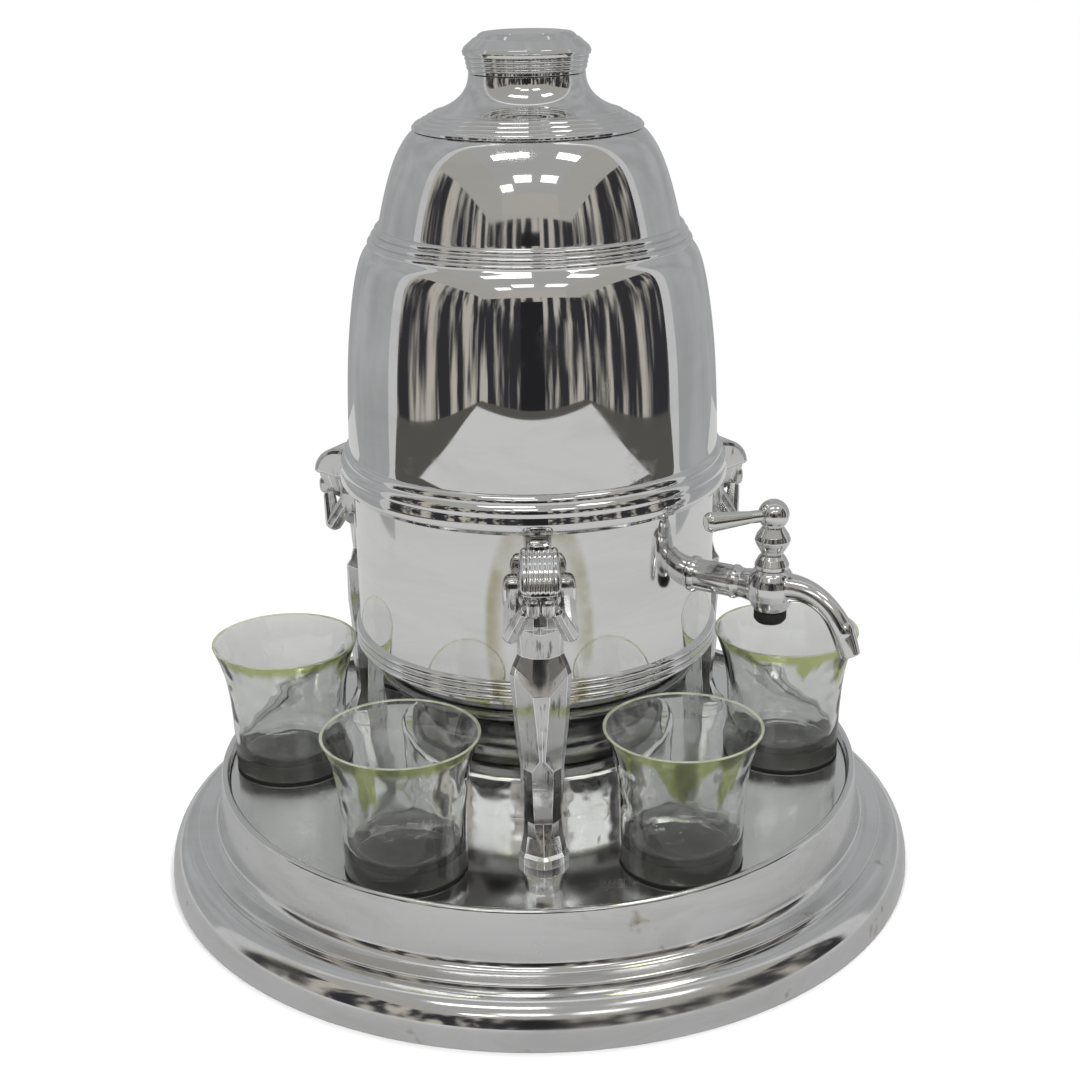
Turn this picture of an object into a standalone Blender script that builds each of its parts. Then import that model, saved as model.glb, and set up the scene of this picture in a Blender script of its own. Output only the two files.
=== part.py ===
"""A chromed cordial dispenser: a beehive urn on three faceted figures, with six glasses on its tray."""

import math

import bmesh
import bpy
from mathutils import Matrix, Vector

COLLECTION_NAME = "cordial_dispenser"
CUTTER_COLLECTION_NAME = "cutters"

# Clearances
GAP = 0.0003
OVERRUN = 0.002
MERGE_DISTANCE = 0.00001

# Facets round each kind of turned piece
PAN_SIDES = 36
URN_SIDES = 24
MIDDLE_SIDES = 16
GLASS_SIDES = 16
SMALL_SIDES = 12
FIXING_SIDES = 8
HEX_SIDES = 6

# Stations round the tray
FIGURE_COUNT = 3
GLASSES_PER_FIGURE = 2
FIRST_FIGURE_ANGLE = math.radians(-90)
TAP_ANGLE = math.radians(-32)

# Base pan, from the tray outwards and from the table up
TRAY_MARGIN = 0.0022
RIM_WIDTH = 0.0028
WALL_FLARE = 0.0023
COVE_WIDTH = 0.0045
STEP_WIDTH = 0.004
ROLL_WIDTH = 0.011
EDGE_HEIGHT = 0.0035
ROLL_HEIGHT = 0.0127
STEP_RISE = 0.0028
COVE_RISE = 0.0045
WALL_RISE = 0.0175
RIM_RISE = 0.004
PAN_SHEET = 0.0012
HEM_WIDTH = 0.005
LEDGE_WIDTH = 0.009

# Tray deck, pads and pedestal
DECK_SHEET = 0.0015
WELL_DEPTH = 0.0005
PAD_THICKNESS = 0.001
PEDESTAL_RADIUS = 0.053
PEDESTAL_HEIGHT = 0.0165
PEDESTAL_ROUND = 0.002
PEDESTAL_SHEET = 0.0012

# Glasses
GLASS_CLEARANCE = 0.0005
GLASS_HEIGHT = 0.051
GLASS_FOOT_RADIUS = 0.0218
GLASS_RIM_RADIUS = 0.0279
GLASS_RIM_WALL = 0.0011
GLASS_WALL = 0.0021
GLASS_BASE = 0.0075
GLASS_HEEL = 0.0012

# Urn foot and drum
DRUM_RISE = 0.05
DRUM_RADIUS = 0.0672
DRUM_HEIGHT = 0.071
DRUM_HEEL_RADIUS = 0.0615
DRUM_HEEL_HEIGHT = 0.0042
DRUM_SHEET = 0.0012
DRUM_FLOOR = 0.0015
DRUM_REED_COUNT = 3
DRUM_REED_HEIGHT = 0.0026
DRUM_REED_PROUD = 0.0018
FOOT_FLANGE_RADIUS = 0.049
FOOT_WAIST_RADIUS = 0.0435
FOOT_COLLAR_RADIUS = 0.059
FOOT_COLLAR_HEIGHT = 0.0025
FOOT_BEAD_RADIUS = 0.0022
FOOT_FLANGE_HEIGHT = 0.0022
FOOT_WALL = 0.003

# Beehive shell
BAND_LAP = 0.0037
BAND_HEIGHT = 0.0137
BAND_WALL_HEIGHT = 0.0082
BAND_PROUD = 0.0048
BAND_ROUND = 0.0014
BAND_STEP_COUNT = 3
BEEHIVE_RADIUS = 0.0681
LOWER_DOME_HEIGHT = 0.073
SHOULDER_HEIGHT = 0.006
SHOULDER_WIDTH = 0.004
SHOULDER_REED_COUNT = 3
SHOULDER_REED_PROUD = 0.0009
UPPER_DOME_HEIGHT = 0.0327
SHELL_SHEET = 0.0012
MOUTH_RADIUS = 0.036
MOUTH_LIP = 0.002

# Lid and knob
LID_RIM_HEIGHT = 0.0012
LID_REED_COUNT = 4
LID_REED_RISE = 0.0044
LID_REED_WIDTH = 0.0083
LID_REED_PROUD = 0.0005
LID_SHOULDER_HEIGHT = 0.0124
LID_NECK_RADIUS = 0.0202
LID_SHEET = 0.0012
SKIRT_LENGTH = 0.008
SKIRT_WALL = 0.001
KNOB_HEIGHT = 0.0132
KNOB_RADIUS = 0.0222
KNOB_SCREW_RADIUS = 0.002
KNOB_SCREW_DEPTH = 0.007
KNOB_SCREW_HEAD_RADIUS = 0.0045
KNOB_SCREW_HEAD_HEIGHT = 0.003

# Centre stud that clamps drum, foot, pedestal and deck together
STUD_RADIUS = 0.003
STUD_FLANGE_RADIUS = 0.012
STUD_FLANGE_HEIGHT = 0.0018
STUD_TAIL = 0.003
WASHER_RADIUS = 0.011
WASHER_THICKNESS = 0.0012
NUT_RADIUS = 0.0065
NUT_HEIGHT = 0.0045

# Figures
FIGURE_STANDOFF = 0.0128
FIGURE_HEIGHT = 0.118
FIGURE_WIDTH = 0.0218
FIGURE_DEPTH = 0.02
HEAD_HALF_WIDTH = 0.0072
HAIR_GROOVE_COUNT = 4
UPPER_ARM_RADIUS = 0.0031
ELBOW_RADIUS = 0.0027
WRIST_RADIUS = 0.0023
HAND_ROUND = 0.0014
LUG_RADIUS = 0.0042
LUG_RISE = 0.0985
FIXING_RADIUS = 0.0015
FIXING_DEPTH = 0.006
FIXING_HEAD_RADIUS = 0.003
FIXING_HEAD_HEIGHT = 0.002

# Tap, measured from the axis of its key
TAP_REACH = 0.03
TAP_RISE = 0.0893
VALVE_RADIUS = 0.0065
VALVE_HEIGHT = 0.0152
BARREL_RADIUS = 0.0057
BARREL_TAPER_LENGTH = 0.006
BARREL_TAPER_START = 0.0125
SHANK_RADIUS = 0.0042
SHANK_LENGTH = 0.012
SPOUT_RADIUS = 0.004
SPOUT_REACH = 0.0306
SPOUT_DROP = 0.0198
FLOW_RADIUS = 0.0021
KEY_TOP_RADIUS = 0.003
KEY_BOTTOM_RADIUS = 0.0024
KEY_STEM_HEIGHT = 0.0155
KEY_STEM_RADIUS = 0.0061
KEY_BALL_RADIUS = 0.0055
LEVER_LENGTH = 0.026
LEVER_ROOT_RADIUS = 0.0022
LEVER_TIP_RADIUS = 0.0036
LEVER_TURN = math.radians(47)
CAP_HEIGHT = 0.0046
CAP_RADIUS = 0.0058
COLLAR_RADIUS = 0.0068
COLLAR_THICKNESS = 0.0016
TAP_WASHER_RADIUS = 0.0085
TAP_WASHER_THICKNESS = 0.001
TAP_NUT_RADIUS = 0.008
TAP_NUT_THICKNESS = 0.004

# Outlines as shares of the sizes above, chosen by hand
# Glass wall: share of height, share of the way from foot radius to rim radius
GLASS_SHARES = ((1.0, 1.0), (0.94, 0.8), (0.82, 0.48), (0.62, 0.18), (0.2, 0.02))
# Concave neck of the urn foot: share of its height, share of the way from waist to collar
FOOT_NECK_SHARES = ((1.0, 0.92), (0.84, 0.6), (0.62, 0.25), (0.4, 0.04), (0.22, 0.0), (0.1, 0.08))
# Lower dome: share of its height, share of its radius
LOWER_DOME_SHARES = ((1.0, 0.85), (0.955, 0.878), (0.9, 0.902), (0.8, 0.926), (0.64, 0.954), (0.4, 0.98), (0.16, 0.992))
# Upper dome: share of its height, share of its lower radius
UPPER_DOME_SHARES = ((1.0, 0.749), (0.94, 0.787), (0.85, 0.824), (0.7, 0.87), (0.52, 0.913), (0.28, 0.957), (0.0, 1.0))
# Lid shoulder: share of its height, share of the way from neck to reeds
LID_SHOULDER_SHARES = ((1.0, 0.0), (0.86, 0.01), (0.66, 0.09), (0.44, 0.25), (0.22, 0.52), (0.08, 0.78), (0.0, 1.0))
# Knob: share of its height, share of its radius
KNOB_SHARES = (
    (1.0, 0.7), (0.97, 0.735), (0.85, 0.79), (0.83, 0.83), (0.62, 0.965), (0.53, 1.0), (0.45, 0.985),
    (0.41, 0.95), (0.36, 0.975), (0.28, 0.955), (0.25, 0.93), (0.12, 0.915), (0.0, 0.91),
)
# Valve body: share of its height, share of its radius
VALVE_SHARES = ((1.0, 0.76), (0.82, 0.92), (0.5, 1.0), (0.18, 0.96), (0.0, 0.9))
# Key stem above the body: share of its height, share of its radius
KEY_STEM_SHARES = (
    (1.0, 0.62), (0.97, 0.65), (0.68, 1.0), (0.62, 1.0), (0.36, 0.64), (0.32, 0.62), (0.28, 0.68),
    (0.04, 0.98), (0.0, 0.98),
)
# Spout centre line from the key axis: share of reach, share of drop; and share of radius there
SPOUT_SHARES = (
    (0.0, 0.0, 1.1), (0.16, -0.04, 1.1), (0.3, -0.08, 1.0), (0.42, -0.07, 0.95), (0.54, 0.0, 0.95), (0.66, 0.12, 0.95),
    (0.76, 0.27, 0.95), (0.85, 0.5, 0.98), (0.92, 0.74, 1.05), (0.96, 0.88, 1.05), (1.0, 1.0, 0.98),
)
# Figure from feet to neck. Heights are shares of the figure's height, widths of its hip width, and
# depths of its hip depth in front of (+) or behind (-) its axis: height, front strip depth and half width,
# face depth and half width, side depth, half width and lift, back depth and half width.
BODY_SHARES = (
    (0.0, 0.5, 0.12, 0.38, 0.33, 0.16, 0.413, 0.0, -0.2, 0.37),
    (0.026, 0.5, 0.12, 0.38, 0.33, 0.16, 0.413, 0.0, -0.2, 0.37),
    (0.034, 0.46, 0.1, 0.34, 0.3, 0.14, 0.38, 0.0, -0.19, 0.35),
    (0.107, 0.15, 0.15, 0.1, 0.24, 0.0, 0.31, 0.0, -0.18, 0.27),
    (0.14, 0.13, 0.15, 0.09, 0.25, 0.0, 0.31, 0.0, -0.18, 0.26),
    (0.22, 0.19, 0.17, 0.13, 0.28, 0.0, 0.34, 0.0, -0.26, 0.29),
    (0.275, 0.24, 0.16, 0.16, 0.3, 0.0, 0.36, 0.0, -0.24, 0.31),
    (0.3, 0.23, 0.05, 0.18, 0.31, 0.02, 0.365, 0.0, -0.22, 0.32),
    (0.405, 0.275, 0.07, 0.22, 0.36, 0.05, 0.42, 0.0, -0.26, 0.36),
    (0.464, 0.25, 0.1, 0.2, 0.385, 0.05, 0.45, 0.0, -0.28, 0.38),
    (0.506, 0.15, 0.13, 0.15, 0.4, 0.03, 0.47, 0.01, -0.3, 0.4),
    (0.565, 0.04, 0.17, 0.1, 0.43, 0.02, 0.49, 0.035, -0.3, 0.42),
    (0.6, 0.03, 0.15, 0.0, 0.36, -0.06, 0.43, 0.03, -0.32, 0.38),
    (0.655, 0.02, 0.115, -0.02, 0.3, -0.1, 0.37, 0.0, -0.36, 0.33),
    (0.72, 0.04, 0.12, 0.0, 0.3, -0.12, 0.39, 0.0, -0.44, 0.33),
    (0.742, 0.02, 0.1, 0.11, 0.29, -0.14, 0.41, 0.0, -0.5, 0.35),
    (0.8, -0.04, 0.09, 0.06, 0.3, -0.18, 0.45, 0.0, -0.54, 0.4),
    (0.86, -0.14, 0.1, -0.06, 0.36, -0.26, 0.49, 0.0, -0.54, 0.44),
    (0.887, -0.2, 0.12, -0.2, 0.36, -0.28, 0.5, 0.0, -0.52, 0.44),
    (0.915, -0.2, 0.1, -0.22, 0.24, -0.3, 0.38, 0.0, -0.5, 0.34),
    (0.93, -0.14, 0.08, -0.16, 0.14, -0.24, 0.17, 0.0, -0.4, 0.14),
    (0.965, -0.04, 0.08, -0.06, 0.14, -0.14, 0.17, 0.0, -0.28, 0.14),
)
# Side outline of the bowed head: share of depth from the axis, share of height
HEAD_SHARES = (
    (-0.125, 0.981), (0.145, 0.998), (0.4, 0.989), (0.625, 0.971), (0.8, 0.925), (0.825, 0.9), (0.7, 0.888),
    (0.6, 0.84), (0.4, 0.822), (0.1, 0.85), (-0.12, 0.885), (-0.19, 0.94),
)
HEAD_CENTRE_SHARE = (0.32, 0.915)
HEAD_SIDE_SHARES = ((1.0, 0.74), (0.8, 1.0))
HAIR_SPREAD_SHARE = 0.66
HAIR_GROOVE_SHARE = 0.95
# Joints of one arm: share of depth, share of hip width, share of height
SHOULDER_SHARE = (-0.2, 0.46, 0.866)
ELBOW_SHARE = (0.235, 0.455, 0.709)
WRIST_SHARE = (0.37, 0.285, 0.815)
HAND_SHARE = (0.65, 0.13, 0.857)
HAND_SIZE_SHARE = (0.26, 0.25, 0.056)

# Heights worked out from the sizes above
roll_top = EDGE_HEIGHT + ROLL_HEIGHT
step_top = roll_top + STEP_RISE
wall_foot = step_top + COVE_RISE
rim_top = wall_foot + WALL_RISE
deck_top = rim_top - RIM_RISE
deck_bottom = deck_top - DECK_SHEET
pad_bottom = deck_top - WELL_DEPTH + GAP
glass_bottom = pad_bottom + PAD_THICKNESS + GAP
pedestal_top = deck_top + PEDESTAL_HEIGHT
drum_bottom = deck_top + DRUM_RISE
drum_top = drum_bottom + DRUM_HEIGHT
band_bottom = drum_top - BAND_LAP
band_top = band_bottom + BAND_HEIGHT
lower_dome_top = band_top + LOWER_DOME_HEIGHT
upper_dome_bottom = lower_dome_top + SHOULDER_HEIGHT
seam_height = upper_dome_bottom + UPPER_DOME_HEIGHT
lid_bottom = seam_height + GAP
lid_reed_top = lid_bottom + LID_RIM_HEIGHT + LID_REED_RISE
lid_top = lid_reed_top + LID_SHOULDER_HEIGHT
knob_bottom = lid_top + GAP
tap_height = deck_top + TAP_RISE
valve_bottom = tap_height - VALVE_HEIGHT / 2
valve_top = tap_height + VALVE_HEIGHT / 2

# Radii worked out from the sizes above, from the drum outwards
glass_ring_radius = DRUM_RADIUS + DRUM_REED_PROUD + GLASS_CLEARANCE + GLASS_RIM_RADIUS
figure_axis_radius = DRUM_RADIUS + FIGURE_STANDOFF
tap_axis_radius = DRUM_RADIUS + TAP_REACH
tray_radius = glass_ring_radius + GLASS_FOOT_RADIUS + TRAY_MARGIN
rim_radius = tray_radius + RIM_WIDTH
wall_foot_radius = rim_radius + WALL_FLARE
cove_radius = wall_foot_radius + COVE_WIDTH
step_radius = cove_radius + STEP_WIDTH
base_radius = step_radius + ROLL_WIDTH
drum_inner_radius = DRUM_RADIUS - DRUM_SHEET
band_radius = DRUM_RADIUS + BAND_PROUD
shoulder_radius = BEEHIVE_RADIUS * LOWER_DOME_SHARES[0][1]
upper_dome_radius = shoulder_radius - SHOULDER_WIDTH
seam_radius = upper_dome_radius * UPPER_DOME_SHARES[0][1]
lid_reed_radius = seam_radius - LID_REED_WIDTH
stud_hole_radius = STUD_RADIUS + GAP
fixing_hole_radius = FIXING_RADIUS + GAP
glass_count = FIGURE_COUNT * GLASSES_PER_FIGURE

# How far the drum's facets fall inwards under the flat pieces that bear on its inner side
facet_slope = math.tan(math.pi / URN_SIDES)
washer_setback = GAP + TAP_WASHER_RADIUS * facet_slope
screw_setback = GAP + FIXING_HEAD_RADIUS * facet_slope


def clear_scene():
    for old in list(bpy.data.objects):
        bpy.data.objects.remove(old, do_unlink=True)


def new_collection(name):
    collection = bpy.data.collections.new(name)
    bpy.context.scene.collection.children.link(collection)
    return collection


def new_material(name, color, metallic, roughness, alpha=1.0):
    material = bpy.data.materials.new(name)
    material.use_nodes = True
    shader = material.node_tree.nodes["Principled BSDF"]
    shader.inputs["Base Color"].default_value = (*color, 1.0)
    shader.inputs["Metallic"].default_value = metallic
    shader.inputs["Roughness"].default_value = roughness
    shader.inputs["Alpha"].default_value = alpha
    return material


def add_object(name, data, material, collection, parent=None):
    piece = bpy.data.objects.new(name, data)
    collection.objects.link(piece)
    piece.parent = parent
    if material is not None and not data.materials:
        data.materials.append(material)
    if collection.name == CUTTER_COLLECTION_NAME:
        piece.hide_render = True
        piece.display_type = "WIRE"
    return piece


def add_frame(name, collection, angle, radius=0.0, height=0.0):
    """An empty whose +X points outwards at this angle round the urn."""
    frame = bpy.data.objects.new(name, None)
    collection.objects.link(frame)
    frame.rotation_euler.z = angle
    frame.location = (radius * math.cos(angle), radius * math.sin(angle), height)
    return frame


def signed_area(outline):
    total = 0.0
    for (x0, z0), (x1, z1) in zip(outline, outline[1:] + outline[:1]):
        total += x0 * z1 - x1 * z0
    return total / 2


def profile_mesh(name, outline, closed):
    """A loop of edges in the XZ plane, run down its outer side."""
    if signed_area(outline) > 0:
        outline = outline[::-1]
    mesh = bpy.data.meshes.new(name)
    count = len(outline)
    edges = [(i, (i + 1) % count) for i in range(count if closed else count - 1)]
    mesh.from_pydata([(x, 0, z) for x, z in outline], edges, [])
    return mesh


def turned(name, outline, material, collection, sides=URN_SIDES, parent=None, mesh=None):
    """A piece turned about its own Z axis. An outline that starts and ends on the axis is left open there."""
    on_axis = outline[0][0] == 0 and outline[-1][0] == 0
    if mesh is None:
        mesh = profile_mesh(name, list(outline), closed=not on_axis)
    piece = add_object(name, mesh, material, collection, parent)
    screw = piece.modifiers.new("turn", "SCREW")
    screw.steps = sides
    screw.render_steps = sides
    screw.use_merge_vertices = True
    screw.merge_threshold = MERGE_DISTANCE
    screw.use_smooth_shade = True
    return piece


def arc(centre_x, centre_z, radius_x, radius_z, start, end, steps):
    points = []
    for i in range(steps + 1):
        angle = math.radians(start + (end - start) * i / steps)
        points.append((centre_x + radius_x * math.cos(angle), centre_z + radius_z * math.sin(angle)))
    return points


def reeds(start, end, count, proud):
    """Half-round reeds side by side from one point of an outline to another, bulging outwards."""
    (x0, z0), (x1, z1) = start, end
    length = math.hypot(x1 - x0, z1 - z0)
    normal = ((z0 - z1) / length, (x1 - x0) / length)
    points = []
    for i in range(count):
        for across, lift in ((0.0, 0.0), (0.3, 0.95), (0.7, 0.95)):
            way = (i + across) / count
            rise = proud * lift
            points.append((x0 + (x1 - x0) * way + normal[0] * rise, z0 + (z1 - z0) * way + normal[1] * rise))
    points.append(end)
    return points


def boolean(piece, other, operation):
    modifier = piece.modifiers.new(other.name, "BOOLEAN")
    modifier.operation = operation
    modifier.solver = "EXACT"
    modifier.object = other
    return piece


def cut(piece, cutter):
    return boolean(piece, cutter, "DIFFERENCE")


def join(piece, other):
    return boolean(piece, other, "UNION")


def rod_cutter(name, radius, length, matrix, parent=None, sides=SMALL_SIDES):
    """A straight round cutter along its own Z, centred on the matrix."""
    mesh = bpy.data.meshes.new(name)
    shape = bmesh.new()
    bmesh.ops.create_cone(
        shape, cap_ends=True, segments=sides, radius1=radius, radius2=radius, depth=length, matrix=matrix
    )
    shape.to_mesh(mesh)
    shape.free()
    return add_object(name, mesh, None, cutters, parent)


def tube_mesh(name, points, radii, resolution):
    """A tube of changing radius along a polyline, its caps welded."""
    curve = bpy.data.curves.new(name, "CURVE")
    curve.dimensions = "3D"
    curve.bevel_depth = max(radii)
    curve.bevel_resolution = resolution
    curve.use_fill_caps = True
    spline = curve.splines.new("POLY")
    spline.points.add(len(points) - 1)
    for i, (point, radius) in enumerate(zip(points, radii)):
        spline.points[i].co = (*point, 1.0)
        spline.points[i].radius = radius / max(radii)
    holder = bpy.data.objects.new(name, curve)
    bpy.context.scene.collection.objects.link(holder)
    depsgraph = bpy.context.evaluated_depsgraph_get()
    mesh = bpy.data.meshes.new_from_object(holder.evaluated_get(depsgraph))
    bpy.data.objects.remove(holder, do_unlink=True)
    shape = bmesh.new()
    shape.from_mesh(mesh)
    bmesh.ops.remove_doubles(shape, verts=shape.verts, dist=MERGE_DISTANCE)
    bmesh.ops.recalc_face_normals(shape, faces=shape.faces)
    shape.to_mesh(mesh)
    shape.free()
    return mesh


def loft_mesh(name, rings):
    """Skin rings of equal counts into one closed body, with a flat fan at each end."""
    shape = bmesh.new()
    rows = [[shape.verts.new(point) for point in ring] for ring in rings]
    count = len(rows[0])
    for low, high in zip(rows, rows[1:]):
        for i in range(count):
            j = (i + 1) % count
            shape.faces.new((low[i], low[j], high[j]))
            shape.faces.new((low[i], high[j], high[i]))
    shape.faces.new(rows[0][::-1])
    shape.faces.new(rows[-1])
    bmesh.ops.triangulate(shape, faces=[face for face in shape.faces if len(face.verts) > 4])
    bmesh.ops.recalc_face_normals(shape, faces=shape.faces)
    mesh = bpy.data.meshes.new(name)
    shape.to_mesh(mesh)
    shape.free()
    return mesh


def make_base_pan():
    ledge_top = deck_bottom - GAP
    ledge_radius = tray_radius - LEDGE_WIDTH
    rim_half = RIM_WIDTH / 2
    outer = [(ledge_radius, ledge_top), (tray_radius, ledge_top)]
    outer += arc(tray_radius + rim_half, rim_top - rim_half, rim_half, rim_half, 180, 0, 3)
    outer += arc(cove_radius, wall_foot, COVE_WIDTH, COVE_RISE, 180, 270, 2)
    outer += [(step_radius - STEP_RISE / 2, step_top), (step_radius, step_top - STEP_RISE / 2)]
    outer += arc(step_radius, EDGE_HEIGHT, ROLL_WIDTH, ROLL_HEIGHT, 90, 0, 4)
    outer += [(base_radius, 0)]
    inner = [(base_radius - HEM_WIDTH, 0), (base_radius - HEM_WIDTH, PAN_SHEET), (base_radius - PAN_SHEET, PAN_SHEET)]
    inner += arc(step_radius, EDGE_HEIGHT, ROLL_WIDTH - PAN_SHEET, ROLL_HEIGHT - PAN_SHEET, 0, 90, 2)
    inner += [(cove_radius - PAN_SHEET, roll_top - PAN_SHEET), (wall_foot_radius - PAN_SHEET, wall_foot)]
    inner += [(rim_radius - PAN_SHEET, ledge_top - PAN_SHEET), (ledge_radius, ledge_top - PAN_SHEET)]
    return turned("base_pan", outer + inner, chrome, parts, PAN_SIDES)


def make_tray_deck():
    edge = tray_radius - GAP
    outline = [(stud_hole_radius, deck_top), (edge, deck_top), (edge, deck_bottom), (stud_hole_radius, deck_bottom)]
    deck = turned("tray_deck", outline, chrome, parts, PAN_SIDES)
    for frame in glass_frames:
        where = Matrix.Translation((0, 0, deck_top))
        well = rod_cutter(frame.name + "_well", GLASS_FOOT_RADIUS + GAP, 2 * WELL_DEPTH, where, frame, GLASS_SIDES)
        cut(deck, well)
    for frame in figure_frames:
        where = Matrix.Translation((figure_axis_radius, 0, deck_top))
        hole = rod_cutter(frame.name + "_deck_hole", fixing_hole_radius, 2 * (DECK_SHEET + OVERRUN), where, frame)
        cut(deck, hole)
    return deck


def make_pedestal():
    bottom = deck_top + GAP
    round_in = PEDESTAL_RADIUS - PEDESTAL_ROUND
    inside = PEDESTAL_RADIUS - PEDESTAL_SHEET
    outline = [(stud_hole_radius, pedestal_top)]
    outline += arc(round_in, pedestal_top - PEDESTAL_ROUND, PEDESTAL_ROUND, PEDESTAL_ROUND, 90, 0, 2)
    outline += [(PEDESTAL_RADIUS, bottom), (inside, bottom), (inside, pedestal_top - PEDESTAL_ROUND)]
    outline += [(round_in, pedestal_top - PEDESTAL_SHEET), (stud_hole_radius, pedestal_top - PEDESTAL_SHEET)]
    return turned("pedestal", outline, chrome, parts)


def make_urn_foot():
    bottom = pedestal_top + GAP
    top = drum_bottom - GAP
    bead_centre = top - FOOT_COLLAR_HEIGHT - FOOT_BEAD_RADIUS
    neck_top = bead_centre - FOOT_BEAD_RADIUS
    neck_bottom = bottom + FOOT_FLANGE_HEIGHT
    bore = FOOT_WAIST_RADIUS - FOOT_WALL
    outline = [(FOOT_COLLAR_RADIUS, top), (FOOT_COLLAR_RADIUS, bead_centre + FOOT_BEAD_RADIUS)]
    outline += arc(FOOT_COLLAR_RADIUS, bead_centre, FOOT_BEAD_RADIUS, FOOT_BEAD_RADIUS, 60, -90, 3)
    for up, out in FOOT_NECK_SHARES:
        radius = FOOT_WAIST_RADIUS + out * (FOOT_COLLAR_RADIUS - FOOT_WAIST_RADIUS)
        outline.append((radius, neck_bottom + up * (neck_top - neck_bottom)))
    outline += [(FOOT_FLANGE_RADIUS, neck_bottom), (FOOT_FLANGE_RADIUS, bottom), (bore, bottom)]
    outline += [(bore, (neck_top + neck_bottom) / 2), (FOOT_COLLAR_RADIUS - 2 * FOOT_WALL, neck_top)]
    outline += [(FOOT_COLLAR_RADIUS - 2 * FOOT_WALL, top)]
    return turned("urn_foot", outline, chrome, parts)


def make_urn_drum():
    reed_bottom = drum_bottom + DRUM_HEEL_HEIGHT
    reed_top = reed_bottom + DRUM_REED_COUNT * DRUM_REED_HEIGHT
    heel_inside = DRUM_HEEL_RADIUS - DRUM_SHEET
    floor_top = drum_bottom + DRUM_FLOOR
    outline = [(0, floor_top), (heel_inside, floor_top), (heel_inside, reed_bottom + DRUM_FLOOR)]
    outline += [(drum_inner_radius, reed_bottom + 2 * DRUM_FLOOR), (drum_inner_radius, drum_top), (DRUM_RADIUS, drum_top)]
    outline += reeds((DRUM_RADIUS, reed_top), (DRUM_RADIUS, reed_bottom), DRUM_REED_COUNT, DRUM_REED_PROUD)
    outline += [(DRUM_HEEL_RADIUS, reed_bottom), (DRUM_HEEL_RADIUS, drum_bottom), (0, drum_bottom)]
    drum = turned("urn_drum", outline, chrome, parts)
    sideways = Matrix.Rotation(math.radians(90), 4, "Y")
    through = 2 * (DRUM_SHEET + washer_setback + OVERRUN)
    where = Matrix.Translation((DRUM_RADIUS - tap_axis_radius, 0, 0)) @ sideways
    cut(drum, rod_cutter("tap_hole", SHANK_RADIUS + GAP, through, where, tap_frame))
    for frame in figure_frames:
        where = Matrix.Translation((DRUM_RADIUS, 0, deck_top + LUG_RISE)) @ sideways
        cut(drum, rod_cutter(frame.name + "_drum_hole", fixing_hole_radius, through, where, frame))
    return drum


def dome(shares, bottom, height, radius, inset=0.0):
    return [(radius * out - inset, bottom + height * up) for up, out in shares]


def make_urn_shell():
    """The beehive, from the lid's seam down to the band that laps over the drum."""
    step_foot = band_bottom + BAND_WALL_HEIGHT
    step_rise = (band_top - step_foot) / BAND_STEP_COUNT
    step_out = (band_radius - BEEHIVE_RADIUS) / BAND_STEP_COUNT
    outline = [(MOUTH_RADIUS, seam_height)]
    outline += dome(UPPER_DOME_SHARES, upper_dome_bottom, UPPER_DOME_HEIGHT, upper_dome_radius)[:-1]
    shoulder_ends = (upper_dome_radius, upper_dome_bottom), (shoulder_radius, lower_dome_top)
    outline += reeds(*shoulder_ends, SHOULDER_REED_COUNT, SHOULDER_REED_PROUD)
    outline += dome(LOWER_DOME_SHARES, band_top, LOWER_DOME_HEIGHT, BEEHIVE_RADIUS)[1:]
    outline += [(BEEHIVE_RADIUS, band_top)]
    for i in range(BAND_STEP_COUNT):
        radius = BEEHIVE_RADIUS + (i + 1) * step_out
        height = band_top - i * step_rise
        outline += [(radius - step_out / 3, height - step_rise / 5), (radius, height - step_rise / 2)]
    outline += [(band_radius, band_bottom + BAND_ROUND), (band_radius - BAND_ROUND, band_bottom)]
    lap_radius = DRUM_RADIUS + GAP
    shoulder = drum_top + GAP
    inner_radius = BEEHIVE_RADIUS - SHELL_SHEET
    outline += [(lap_radius, band_bottom), (lap_radius, shoulder), (drum_inner_radius, shoulder)]
    outline += [(drum_inner_radius, shoulder + SHELL_SHEET), (inner_radius, band_top)]
    outline += dome(LOWER_DOME_SHARES, band_top, LOWER_DOME_HEIGHT, BEEHIVE_RADIUS, 1.5 * SHELL_SHEET)[::-2][:-1]
    outline += [(shoulder_radius - 2 * SHELL_SHEET, lower_dome_top - SHELL_SHEET)]
    outline += [(upper_dome_radius - 1.5 * SHELL_SHEET, upper_dome_bottom)]
    outline += dome(UPPER_DOME_SHARES, upper_dome_bottom, UPPER_DOME_HEIGHT, upper_dome_radius, 1.5 * SHELL_SHEET)[5:2:-2]
    outline += [(MOUTH_RADIUS + MOUTH_LIP, seam_height - 2 * MOUTH_LIP), (MOUTH_RADIUS, seam_height - MOUTH_LIP)]
    return turned("urn_shell", outline, chrome, parts)


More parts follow.
